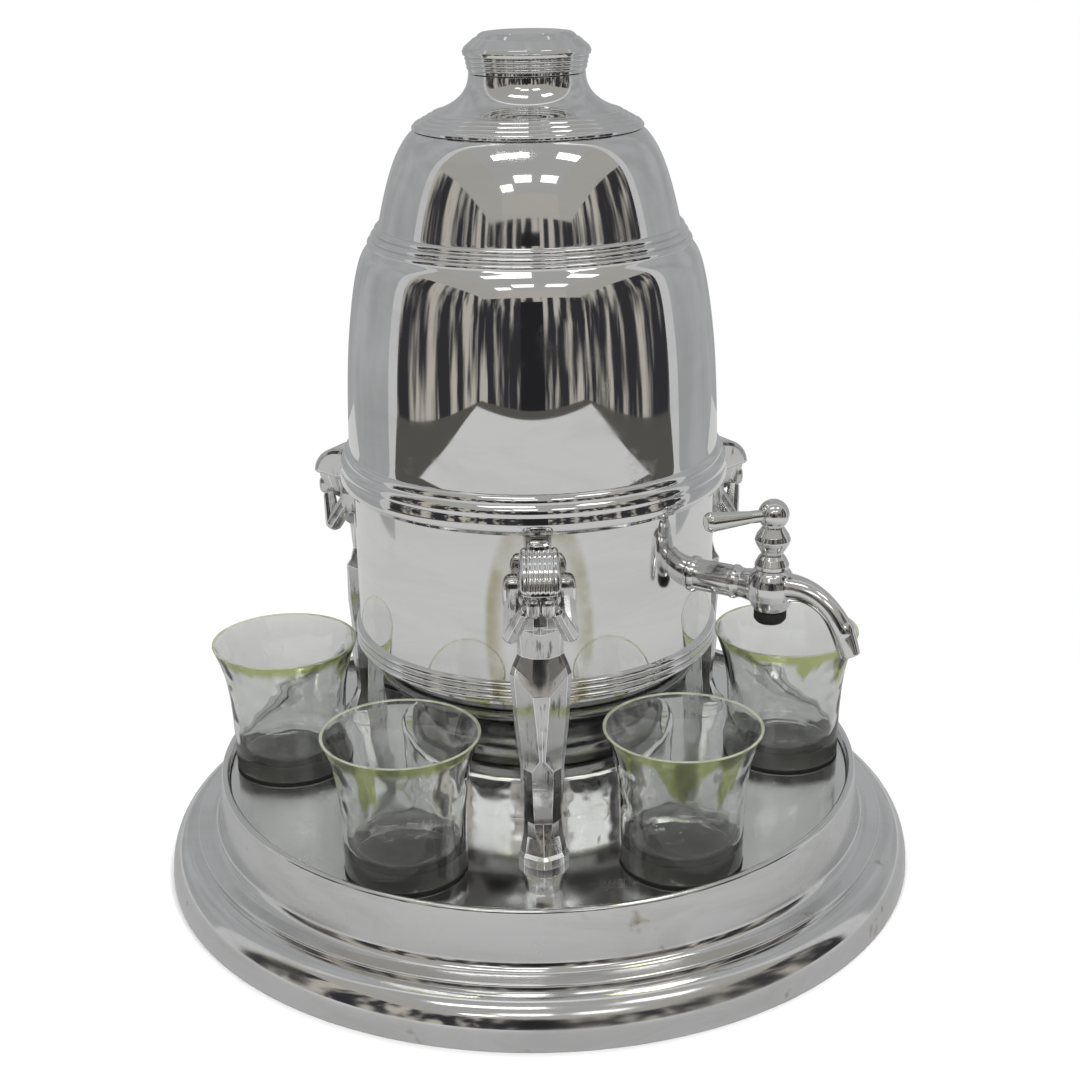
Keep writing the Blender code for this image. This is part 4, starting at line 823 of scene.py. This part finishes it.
def chrome(
        name, haze, film, scratches, stains, stain_scale=60.0, polish=None, halo=False, dull_walls=None,
        dark=1.0, patina=0.0, dents=(38.0, 0.05)):
    """Polished chrome with its film, scratches and stains, its colour scaled by dark: painted shade below 1,
    painted light above 1.
    """
    look = bpy.context.scene.dispenser_chrome
    tree, shader = new_finish(name, Metallic=1.0)
    place = object_place(tree)
    film_mask = mask(tree, "wiped_film", Scale=1.0)
    scratch_mask = mask(tree, "fine_scratches", Density=scratches)
    stain_mask = mask(tree, "plating_stains", Coverage=stains, Scale=stain_scale)
    # dark scales the clean and dull colours: painted shade below 1, painted light above 1
    clean = shaded(look.color, dark)
    dull = shaded(look.dull_color, dark)
    color = mix_color(tree, times(tree, film_mask, film), clean, dull)
    if halo:
        mottle = ramp(tree, noise(tree, place, 70.0, 4.0), 0.15, 0.7)
        share = times(tree, times(tree, halo_mask(tree, place), mottle), 0.95)
        color = mix_color(tree, share, color, look.halo_color)
    if patina:
        color = mix_color(tree, mask(tree, "rubbed_patina", Coverage=patina), color, look.patina_color)
    color = mix_color(tree, times(tree, stain_mask, 0.7), color, look.tarnish_color)
    rough = math_node(tree, "MULTIPLY_ADD", film_mask, haze, look.polish if polish is None else polish)
    rough = plus(tree, rough, times(tree, scratch_mask, SCRATCH_ROUGHNESS))
    rough = plus(tree, rough, times(tree, stain_mask, STAIN_ROUGHNESS))
    if dull_walls:
        low, high, extra = dull_walls
        height = height_of(tree, place)
        below = less(tree, 1.0, ramp(tree, height, high, high + MM))
        rough = plus(tree, rough, times(tree, times(tree, ramp(tree, height, low, low + MM), below), extra))
    dent_scale, dent_strength = dents
    waves = bumped(tree, noise(tree, place, dent_scale, 1.0), dent_strength, 0.0006)
    normal = bumped(tree, scratch_mask, 0.06, 0.0001, invert=True, Normal=waves)
    set_inputs(tree, shader, {"Base Color": color, "Roughness": rough, "Normal": normal})


def steel(name):
    """Plain steel of the hidden fixings, with a fine grain."""
    look = bpy.context.scene.dispenser_chrome
    tree, shader = new_finish(name, Metallic=1.0)
    film_mask = mask(tree, "wiped_film", Scale=4.0)
    stain_mask = mask(tree, "plating_stains", Coverage=0.6, Scale=160.0)
    base = mix_color(tree, film_mask, look.steel_color, shaded(look.steel_color, 0.7))
    set_inputs(tree, shader, {
        "Base Color": mix_color(tree, stain_mask, base, look.tarnish_color),
        "Roughness": plus(tree, times(tree, film_mask, 0.2), 0.3),
        "Normal": bumped(tree, noise(tree, object_place(tree), 900.0), 0.15, 0.0001)})


def rubber(name):
    """Black rubber, a little dusty."""
    look = bpy.context.scene.dispenser_glass
    tree, shader = new_finish(name, Specular_IOR_Level=0.2)
    place = object_place(tree)
    mottle = noise(tree, place, 240.0, 5.0, Roughness=0.7)
    dusty = times(tree, ramp(tree, mottle, 0.42, 0.75), 0.06)
    set_inputs(tree, shader, {
        "Base Color": mix_color(tree, dusty, look.pad_color, DUST_COLOR),
        "Roughness": plus(tree, times(tree, mottle, 0.3), 0.45),
        "Normal": bumped(tree, noise(tree, place, 1500.0), 0.25, 0.0001)})


def clear_glass(name):
    """Clear pressed glass with the faint waves of a hand-finished wall; its rim is tinted outside."""
    look = bpy.context.scene.dispenser_glass
    tree, shader = new_finish(name, Transmission_Weight=1.0, IOR=GLASS_IOR)
    place = object_place(tree)
    drips = noise(tree, mapped(tree, place, Scale=(75, 75, 8)))
    lowered = plus(tree, height_of(tree, place), times(tree, ramp(tree, drips, 0.5, 0.8), DRIP_LENGTH))
    top = high_of("glass_5").z - low_of("glass_5").z
    tint = ramp(tree, lowered, top - 1.3 * look.rim_depth, top - 0.5 * look.rim_depth)
    normal = add(tree, "ShaderNodeTexCoord").outputs["Normal"]
    level = add(tree, "ShaderNodeVectorMath", {0: place, 1: (1, 1, 0)}, operation="MULTIPLY").outputs[0]
    facing = add(tree, "ShaderNodeVectorMath", {0: level, 1: normal}, operation="DOT_PRODUCT")
    outer = ramp(tree, facing.outputs["Value"], 0.0, 0.01)
    front = less(tree, 1.0, add(tree, "ShaderNodeNewGeometry").outputs["Backfacing"])
    tint = times(tree, tint, times(tree, outer, front))
    set_inputs(tree, shader, {
        "Base Color": mix_color(tree, tint, look.color, look.rim_color),
        "Roughness": times(tree, tint, 0.1),
        "Normal": bumped(tree, noise(tree, place, 70.0, 1.0), 0.5, 0.0022)})


def melted_lip(name):
    """The edge of the rim: less clear than the wall, and pale, a painted highlight along the lip."""
    pale = bpy.context.scene.dispenser_glass.lip_highlight_color
    tree, shader = new_finish(name, Transmission_Weight=0.5, IOR=GLASS_IOR)
    uneven = noise(tree, object_place(tree), 160.0, 3.0)
    set_inputs(tree, shader, {
        "Base Color": mix_color(tree, ramp(tree, uneven, 0.35, 0.7), pale, shaded(pale, 0.72)),
        "Roughness": times(tree, uneven, 0.16)})


def mirrored(half):
    """Points of one half of a ring in millimetres and their mirror images, in metres."""
    other = [(out, -across, up) for out, across, up in half[::-1]]
    return [Vector(point) * MM for point in half + other]


def body_ring(section):
    """One level ring of the figure's body from its half section."""
    height, centre, *rest = section
    half = [(out, across, height) for out, across in zip(rest[::2], rest[1::2])]
    return [Vector((centre, 0, height)) * MM] + mirrored(half)


def hip_ring(section):
    (height, centre), *rest = section
    return [Vector((centre, 0, height)) * MM] + mirrored([(out, across, up) for up, out, across in rest])


def hair_mesh():
    """The hair: its side outline carried across the head, with flutes over the crown."""
    outline = smooth_run(HAIR_OUTLINE, 3) + FRINGE_UNDERSIDE
    centre = Vector(HAIR_CENTRE)
    stations = list(HAIR_SIDE)
    share = FLUTE_HALF_WIDTH / HAIR_HALF_WIDTH
    for i in range(FLUTE_COUNT * FLUTE_STEPS + 1):
        across = share * (2 * i / (FLUTE_COUNT * FLUTE_STEPS) - 1)
        dip = 1 - abs(math.sin(math.pi * i / FLUTE_STEPS))
        stations.append((across, 1.0 - FLUTE_DEPTH_SHARE * dip ** FLUTE_POWER))
    stations += [(-across, size) for across, size in HAIR_SIDE[::-1]]
    rings = []
    for across, size in stations:
        ring = [centre + (Vector(point) - centre) * size for point in outline]
        rings.append([Vector((point.x, across * HAIR_HALF_WIDTH, point.y)) * MM for point in ring])
    return loft_mesh("hair", rings)


def block_mesh(name, sections):
    """A faceted block."""
    rings = []
    for height, front, front_half, back, back_half in sections:
        side = max(front_half, back_half) + BLOCK_SWELL
        rings.append(mirrored([
            (front, front_half * BLOCK_FRONT_SHARE, height), (front - BLOCK_CHAMFER, front_half, height),
            ((front + back) / 2, side, height), (back, back_half, height)]))
    return loft_mesh(name, rings)


def bar_mesh(name, start, end, start_size, end_size):
    """A faceted bar between two points given as outwards, sideways and up, in millimetres."""
    start, end = Vector(start), Vector(end)
    along = (end - start).normalized()
    wide = along.cross(Vector((1, 0, 0))).normalized()
    deep = wide.cross(along).normalized()
    rings = []
    for way, share in BAR_STOPS:
        if way < 0:
            point, size = start + along * way * start_size[0], start_size
        elif way > 1:
            point, size = end + along * (way - 1) * end_size[0], end_size
        else:
            point, size = start + along * way * (end - start).length, (start_size, end_size)[int(way)]
        ring = []
        for turn in BAR_TURNS:
            angle = math.radians(turn)
            spoke = wide * size[0] * math.cos(angle) + deep * size[1] * math.sin(angle)
            ring.append((point + share * spoke) * MM)
        rings.append(ring)
    return loft_mesh(name, rings)


def soft_block(name, centre, half_sizes, side):
    """A block with generous roundings, at one side of the figure."""
    shape = bmesh.new()
    bmesh.ops.create_uvsphere(shape, u_segments=BLOCK_SEGMENTS[0], v_segments=BLOCK_SEGMENTS[1], radius=1)
    for vert in shape.verts:
        full = [math.copysign(abs(part) ** SOFT_BLOCK_POWER, part) for part in vert.co]
        out, across, up = (middle + half * part for middle, half, part in zip(centre, half_sizes, full))
        vert.co = Vector((out, side * across, up)) * MM
    if side < 0:
        bmesh.ops.reverse_faces(shape, faces=shape.faces)
    return baked(shape, name)


def figure_meshes():
    """The pieces of one figure, standing at +X from the urn's axis."""
    rings = [body_ring(section) for section in BODY_SECTIONS]
    rings += [hip_ring(section) for section in HIP_SECTIONS]
    rings += [body_ring(section) for section in CHEST_SECTIONS]
    meshes = [
        loft_mesh("torso", rings), hair_mesh(), block_mesh("face", FACE_SECTIONS),
        block_mesh("crown", CROWN_SECTIONS)]
    for side in (1, -1):
        points = [(out, side * across, up) for out, across, up in ARM_POINTS]
        for start, end, sizes in zip(points, points[1:], ARM_SIZES):
            meshes.append(bar_mesh("limb", start, end, *sizes))
        meshes += [soft_block("pad", *SHOULDER_PAD, side), soft_block("hand", *HAND, side)]
    inner, outer, radius = high_of("urn_drum").x - LUG_BED * MM, LUG_REACH * MM, LUG_RADIUS * MM
    lug = turned_mesh("lug", [(0, inner), (radius, inner), (radius, outer), (0, outer)], LUG_SEGMENTS)
    lug.transform(Matrix.Translation((0, 0, LUG_HEIGHT * MM)) @ Matrix.Rotation(math.radians(90), 4, "Y"))
    return meshes + [lug]


class DISPENSER_OT_finishes(bpy.types.Operator):
    """Build the shared effects and the finishes of chrome, steel, rubber and glass"""
    bl_idname = "dispenser.finishes"
    bl_label = "Finishes"

    def execute(self, context):
        make_scratch_group()
        make_film_group()
        make_stain_group()
        make_patina_group()
        for name, wear in CHROMES.items():
            chrome(name, **wear)
        steel("fixing_steel")
        rubber("dusty_rubber")
        clear_glass("pressed_glass")
        melted_lip("melted_lip")
        return {"FINISHED"}


class DISPENSER_OT_base(bpy.types.Operator):
    """Build the rolled base pan, the polished deck with its wells, and the pedestal"""
    bl_idname = "dispenser.base"
    bl_label = "Base and tray"

    def execute(self, context):
        sizes = context.scene.dispenser_urn
        roll = roll_run(ROLL_TURNS, 0, ROLL_POWER)
        inside = roll_run(ROLL_INSIDE_TURNS, PAN_SHEET, 1)
        stand_in("base_pan", rounded(PAN_TOP + roll + PAN_HEM + inside + PAN_INSIDE), "pan_chrome")
        deck_mesh = turned_mesh("tray_deck_fine", rounded(DECK_OUTLINE))
        deck = link("tray_deck_fine", deck_mesh, bpy.data.materials["tray_chrome"])
        radius = (PAD_OUTLINE[1][0] + WELL_MARGIN) * MM
        wells = []
        for i in range(GLASS_COUNT):
            shape = bmesh.new()
            bmesh.ops.create_cone(
                shape, cap_ends=True, segments=GLASS_SEGMENTS, radius1=radius, radius2=radius,
                depth=2 * sizes.well_depth,
                matrix=glass_station(i) @ Matrix.Translation((sizes.ring_radius, 0, DECK_OUTLINE[0][1] * MM)))
            wells.append(baked(shape, "well"))
        cut_away(deck, wells)
        finish_mesh(deck.data)
        seat(keep_flats(deck), "stand", "chrome", "tray_deck")
        # The pedestal's chrome is brighter than plain chrome: painted light
        stand_in("pedestal", rounded(PEDESTAL_OUTLINE), "worn_chrome")
        return {"FINISHED"}


class DISPENSER_OT_urn(bpy.types.Operator):
    """Build the urn: its foot, its drum with the lower reeds, and the beehive shell"""
    bl_idname = "dispenser.urn"
    bl_label = "Urn"

    def execute(self, context):
        foot = rounded(FOOT_TOP) + rounded(bulged(*FOOT_BEAD, steps=BEAD_STEPS))
        foot += rounded(smooth_run(FOOT_NECK)) + rounded(FOOT_FLANGE)
        # The foot's chrome is darkened: painted shade in the hollow neck under the urn
        stand_in("urn_foot", foot, "neck_chrome")
        stand_in("urn_drum", rounded(DRUM_INSIDE + reed_run(*DRUM_REEDS) + DRUM_HEEL), "drum_chrome")
        shell = SHELL_MOUTH + smooth_run(SHELL_UPPER) + reed_run(*SHELL_REEDS) + smooth_run(SHELL_LOWER)
        shell += arc_run(BAND_REEDS) + BAND_LIP + smooth_run(SHELL_INSIDE, 3)
        stand_in("urn_shell", rounded(shell), "urn_chrome")
        return {"FINISHED"}


class DISPENSER_OT_lid(bpy.types.Operator):
    """Build the lid with its fine reeds, and the knob"""
    bl_idname = "dispenser.lid"
    bl_label = "Lid and knob"

    def execute(self, context):
        lid = LID_TOP + smooth_run(LID_SHOULDER) + reed_run(*LID_REEDS) + LID_RIM + LID_INSIDE
        stand_in("lid", rounded(lid), "urn_chrome", "lid")
        stand_in("knob", rounded(KNOB_TOP + reed_run(*KNOB_REEDS) + KNOB_FOOT), "urn_chrome", "lid")
        return {"FINISHED"}


class DISPENSER_OT_tap(bpy.types.Operator):
    """Build the tap: cast body and spout, collar, key, lever and the black cap under the key"""
    bl_idname = "dispenser.tap"
    bl_label = "Tap"

    def execute(self, context):
        low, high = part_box("tap_cap")
        axis = Vector(((low.x + high.x) / 2, (low.y + high.y) / 2, high.z - CAP_OUTLINE[0][1] * MM))
        place = Matrix.Translation(axis) @ station(TAP_DEGREES)
        self.make_body(place)
        small = {"finish": "tap_chrome", "segments": SMALL_SEGMENTS}
        inwards = place @ Matrix.Rotation(math.radians(-90), 4, "Y")
        barrel = turned("tap_barrel_fine", rounded(BARREL_OUTLINE), place=inwards, **small)
        seat(barrel, "stand", "chrome")
        stand_in("tap_collar", rounded(COLLAR_OUTLINE), place=inwards, **small)
        start = math.acos(BALL_FOOT[0] / BALL_RADIUS)
        ball_centre = BALL_FOOT[1] + BALL_RADIUS * math.sin(start)
        ball = [(0.0, ball_centre + BALL_RADIUS)]
        for step in range(1, BALL_STEPS + 1):
            angle = math.pi / 2 - (math.pi / 2 + start) * step / BALL_STEPS
            ball.append((BALL_RADIUS * math.cos(angle), ball_centre + BALL_RADIUS * math.sin(angle)))
        stand_in("tap_key", rounded(ball + STEM_OUTLINE), body="tap_key", place=place, **small)
        lever_low, lever_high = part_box("tap_lever")
        towards = (lever_low + lever_high) / 2 - axis
        heading = station(math.degrees(math.atan2(towards.y, towards.x)))
        level = Matrix.Translation(axis + Vector((0, 0, ball_centre * MM))) @ heading
        level = level @ Matrix.Rotation(math.radians(90), 4, "Y")
        stand_in("tap_lever", rounded(LEVER_OUTLINE), body="tap_key", place=level, **small)
        stand_in(
            "tap_cap", rounded(CAP_OUTLINE), "dusty_rubber", "tap_key", "black_rubber",
            segments=SMALL_SEGMENTS, place=place)
        return {"FINISHED"}

    def make_body(self, place):
        """The cast body: the ball round the key with its spout, bored at the end."""
        valve = turned_mesh("valve", rounded(VALVE_OUTLINE), SMALL_SEGMENTS)
        spout = tube_mesh("spout", smooth_run(SPOUT_PATH))
        x, z, radius = (value * MM for value in SPOUT_LIP)
        shape = bmesh.new()
        bmesh.ops.create_uvsphere(
            shape, u_segments=LIP_SEGMENTS[0], v_segments=LIP_SEGMENTS[1], radius=radius,
            matrix=Matrix.Translation((x, 0, z)) @ Matrix.Diagonal(SPOUT_LIP_STRETCH))
        skin = merged("tap_body_fine", [valve, spout, baked(shape, "lip")])
        body = link("tap_body_fine", skin, bpy.data.materials["tap_chrome"])
        body.matrix_world = place
        cut_away(body, [tube_mesh("bore", SPOUT_BORE, BORE_SEGMENTS)])
        finish_mesh(body.data, CAST_SHARP_ANGLE)
        seat(body, "stand", "chrome", "tap_body")


class DISPENSER_OT_glasses(bpy.types.Operator):
    """Build the six glasses and the pads that they stand on"""
    bl_idname = "dispenser.glasses"
    bl_label = "Glasses and pads"

    def execute(self, context):
        outline = GLASS_FOOT + smooth_run(GLASS_WALL) + GLASS_LIP + smooth_run(GLASS_CAVITY)
        mesh = turned_mesh("glass_fine", rounded(outline), GLASS_SEGMENTS)
        # The lip's faces take the second material, whose pale colour is a painted highlight
        for polygon in mesh.polygons:
            polygon.material_index = int(polygon.center.z > GLASS_LIP_LOW * MM)
        pad_mesh = turned_mesh("pad_fine", rounded(PAD_OUTLINE), GLASS_SEGMENTS)
        for i in range(GLASS_COUNT):
            turn = glass_station(i)
            spot = turn @ Vector((context.scene.dispenser_urn.ring_radius, 0, 0))
            number = i + 1
            glass = link(f"glass_{number}_fine", mesh.copy(), bpy.data.materials["pressed_glass"])
            glass.data.materials.append(bpy.data.materials["melted_lip"])
            glass.matrix_world = Matrix.Translation((spot.x, spot.y, low_of(f"glass_{number}").z)) @ turn
            seat(glass, f"glass_{number}", "clear_glass", f"glass_{number}")
            glass.visible_shadow = False
            pad = link(f"glass_pad_{number}_fine", pad_mesh.copy(), bpy.data.materials["dusty_rubber"])
            pad.matrix_world = Matrix.Translation((spot.x, spot.y, low_of(f"glass_pad_{number}").z)) @ turn
            seat(keep_flats(pad), "stand", "black_rubber", f"glass_pad_{number}")
        return {"FINISHED"}


class DISPENSER_OT_figures(bpy.types.Operator):
    """Build the three faceted figures that carry the urn"""
    bl_idname = "dispenser.figures"
    bl_label = "Figures"

    def execute(self, context):
        for name, degrees in FIGURES.items():
            whole = joined("figure_" + name + "_fine", figure_meshes())
            # The figure's cast chrome is darkened: painted shade on the broad facets
            figure = link("figure_" + name + "_fine", whole, bpy.data.materials["cast_chrome"])
            whole.materials.append(bpy.data.materials["edge_chrome"])
            # The bevels carry the edge chrome: polished wear, and a painted highlight along each edge
            bevel = figure.modifiers.new("worn_edges", "BEVEL")
            bevel.width = FIGURE_BEVEL * MM
            bevel.segments = 2
            bevel.material = 1
            bevel.limit_method = "ANGLE"
            bevel.angle_limit = BEVEL_ANGLE
            for polygon in whole.polygons:
                polygon.use_smooth = True
            keep_flats(figure)
            figure.matrix_world = station(degrees)
            seat(figure, "stand", "chrome", "figure_" + name)
        return {"FINISHED"}


class DISPENSER_OT_fixings(bpy.types.Operator):
    """Give the screws, nuts and washers that stay as they are their steel and rubber"""
    bl_idname = "dispenser.fixings"
    bl_label = "Fixings"

    def execute(self, context):
        for name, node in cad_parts.items():
            if node.hide_render:
                continue
            finish = "dusty_rubber" if name == "tap_washer" else "fixing_steel"
            node.data.materials.clear()
            node.data.materials.append(bpy.data.materials[finish])
        return {"FINISHED"}


def card(name, points, color, streaks=None, through=False):
    """A flat card of the studio, seen only in reflections and, where wanted, through glass."""
    shape = bmesh.new()
    shape.faces.new([shape.verts.new(point) for point in points])
    material = bpy.data.materials.new(name)
    material.use_nodes = True
    tree = material.node_tree
    tree.nodes.clear()
    if streaks:
        scale, low, high, other = streaks
        grey = noise(tree, mapped(tree, object_place(tree), Scale=scale), detail=3.0)
        color = mix_color(tree, ramp(tree, grey, low, high), color, other)
    glow = add(tree, "ShaderNodeEmission", {"Color": color})
    add(tree, "ShaderNodeOutputMaterial", {"Surface": glow.outputs[0]})
    piece = link(name, baked(shape, name), material)
    piece.visible_camera = False
    piece.visible_diffuse = False
    piece.visible_transmission = through
    piece.visible_shadow = False
    return piece


def level_card(name, corners, height, color, **more):
    return card(name, [(x, y, height) for x, y in corners], color, **more)


def wall(name, start, end, low, high, color, **more):
    """An upright card between two points seen from above."""
    return card(name, [(*start, low), (*end, low), (*end, high), (*start, high)], color, **more)


class DISPENSER_OT_studio(bpy.types.Operator):
    """Set the plain floor, the pale and dark cards, the lamps, the world and the camera"""
    bl_idname = "dispenser.studio"
    bl_label = "Studio"

    def execute(self, context):
        studio = context.scene.dispenser_studio
        self.make_floor(studio)
        self.make_cards(studio)
        self.make_floor_card()
        self.make_light(context, studio)
        self.make_camera(context)
        context.scene.view_settings.view_transform = "Standard"
        return {"FINISHED"}

    def make_floor(self, studio):
        """The floor, with a faint weave close by and plain white further off."""
        shape = bmesh.new()
        bmesh.ops.create_circle(shape, cap_ends=True, segments=GLASS_SEGMENTS, radius=FLOOR_RADIUS)
        mesh = baked(shape, "floor")
        tree, shader = new_finish("floor", Roughness=0.9, Specular_IOR_Level=0.1)
        weave = noise(tree, object_place(tree), 6.0, 3.0)
        color = mix_color(tree, weave, studio.floor_color, shaded(studio.floor_color, 0.985))
        set_inputs(tree, shader, {"Base Color": color})
        fade = times(tree, ramp(tree, length_of(tree, object_place(tree)), *FLOOR_FADE), seen_rays(tree))
        white = add(tree, "ShaderNodeEmission", {"Color": WHITE})
        mixed = add(tree, "ShaderNodeMixShader", {0: fade, 1: shader.outputs[0], 2: white.outputs[0]})
        set_inputs(tree, tree.nodes["Material Output"], {"Surface": mixed.outputs[0]})
        floor = link("floor", mesh, bpy.data.materials["floor"])

    def make_cards(self, studio):
        """The pale tent behind, and the dark room with its ceiling lights in front."""
        pale = studio.tent_color
        cloth = ((4, 4, 5), 0.3, 0.7, shaded(pale, 0.82))
        for side, start, end in zip(("left", "back", "right"), TENT, TENT[1:]):
            wall("tent_" + side, start, end, 0.0, TENT_HEIGHT, pale, streaks=cloth, through=True)
        level_card("tent_top", TENT[1:] + TENT[:1], TENT_HEIGHT, pale, streaks=cloth)
        for i, (x, y, width, depth) in enumerate(CEILING_LIGHTS):
            corners = [(x + a * width, y + b * depth) for a, b in ((-1, -1), (1, -1), (1, 1), (-1, 1))]
            level_card(f"ceiling_light_{i}", corners, LIGHTS_HEIGHT, (3.0, 3.0, 2.95))
        level_card("dark_floor", DARK_FLOOR, 0.0001, (0.1, 0.095, 0.085))
        level_card("ceiling", CEILING, CEILING_HEIGHT, (0.42, 0.42, 0.41))
        for name, (start, end, low, high, *light) in ROOM.items():
            if light:
                wall(name, start, end, low, high, *light)
            else:
                wall(name, start, end, low, high, studio.dark_color, streaks=DARK_STREAKS)

    def make_floor_card(self):
        """The floor as the polished metal mirrors it: darker close to the foot, a painted shadow of the
        dispenser.
        """
        piece = level_card("floor_card", FLOOR_CARD, 0.0002, FLOOR_CARD_SHADOW, through=True)
        tree = piece.data.materials[0].node_tree
        share = ramp(tree, length_of(tree, object_place(tree)), *FLOOR_CARD_SHADOW_FADE)
        glow = next(node for node in tree.nodes if node.type == "EMISSION")
        set_inputs(tree, glow, {"Color": mix_color(tree, share, FLOOR_CARD_SHADOW, FLOOR_FAR)})

    def make_light(self, context, studio):
        for name, (place, size, power) in LAMPS.items():
            data = bpy.data.lights.new(name, "AREA")
            data.shape = "RECTANGLE"
            data.size, data.size_y = size
            data.energy = power
            lamp = place_object(name, data)
            lamp.location = place
            lamp.rotation_euler = (Vector(LAMP_AIM) - Vector(place)).to_track_quat("-Z", "Y").to_euler()
            lamp.visible_glossy = False
        world = bpy.data.worlds.new("studio_world")
        context.scene.world = world
        world.use_nodes = True
        tree = world.node_tree
        tree.nodes.clear()
        even = studio.world_strength
        strength = math_node(tree, "MULTIPLY_ADD", seen_rays(tree), 1.0 - even, even)
        sky = add(tree, "ShaderNodeBackground", {"Color": WHITE, "Strength": strength})
        add(tree, "ShaderNodeOutputWorld", {"Surface": sky.outputs[0]})

    def make_camera(self, context):
        data = bpy.data.cameras.new("camera")
        camera = place_object("camera", data)
        azimuth = math.radians(CAMERA_AZIMUTH)
        place = Vector((
            CAMERA_DISTANCE * math.sin(azimuth), -CAMERA_DISTANCE * math.cos(azimuth), CAMERA_HEIGHT))
        tilt = Matrix.Rotation(math.radians(90 - CAMERA_PITCH), 4, "X")
        look = station(-CAMERA_YAW) @ station(CAMERA_AZIMUTH) @ tilt @ station(CAMERA_ROLL)
        camera.matrix_world = Matrix.Translation(place) @ look
        data.sensor_width = SENSOR_MM
        data.lens = SENSOR_MM * FOCAL_PIXELS / PHOTO_PIXELS
        data.shift_y = PHOTO_SHIFT_PIXELS / PHOTO_PIXELS
        data.clip_start = 0.01
        context.scene.camera = camera


STEPS = (
    DISPENSER_OT_finishes, DISPENSER_OT_base, DISPENSER_OT_urn, DISPENSER_OT_lid, DISPENSER_OT_tap,
    DISPENSER_OT_glasses, DISPENSER_OT_figures, DISPENSER_OT_fixings, DISPENSER_OT_studio,
)
GROUPS = {
    "dispenser_urn": UrnSettings, "dispenser_chrome": ChromeSettings, "dispenser_glass": GlassSettings,
    "dispenser_studio": StudioSettings,
}


class DISPENSER_PT_panel(bpy.types.Panel):
    """The steps that dress the dispenser, in order"""
    bl_idname = "DISPENSER_PT_panel"
    bl_label = "Cordial dispenser"
    bl_space_type = "VIEW_3D"
    bl_region_type = "UI"
    bl_category = "Dispenser"

    def draw(self, context):
        for step in STEPS:
            self.layout.operator(step.bl_idname)
        for name, group in GROUPS.items():
            box = self.layout.box()
            for key in group.__annotations__:
                box.prop(getattr(context.scene, name), key)


def register():
    for name, group in GROUPS.items():
        bpy.utils.register_class(group)
        setattr(bpy.types.Scene, name, bpy.props.PointerProperty(type=group))
    for step in (*STEPS, DISPENSER_PT_panel):
        bpy.utils.register_class(step)


def unregister():
    for step in (DISPENSER_PT_panel, *STEPS[::-1]):
        bpy.utils.unregister_class(step)
    for name, group in GROUPS.items():
        delattr(bpy.types.Scene, name)
        bpy.utils.unregister_class(group)


def main():
    register()
    bpy.ops.dispenser.finishes()
    bpy.ops.dispenser.base()
    bpy.ops.dispenser.urn()
    bpy.ops.dispenser.lid()
    bpy.ops.dispenser.tap()
    bpy.ops.dispenser.glasses()
    bpy.ops.dispenser.figures()
    bpy.ops.dispenser.fixings()
    bpy.ops.dispenser.studio()


if __name__ == "__main__":
    main()
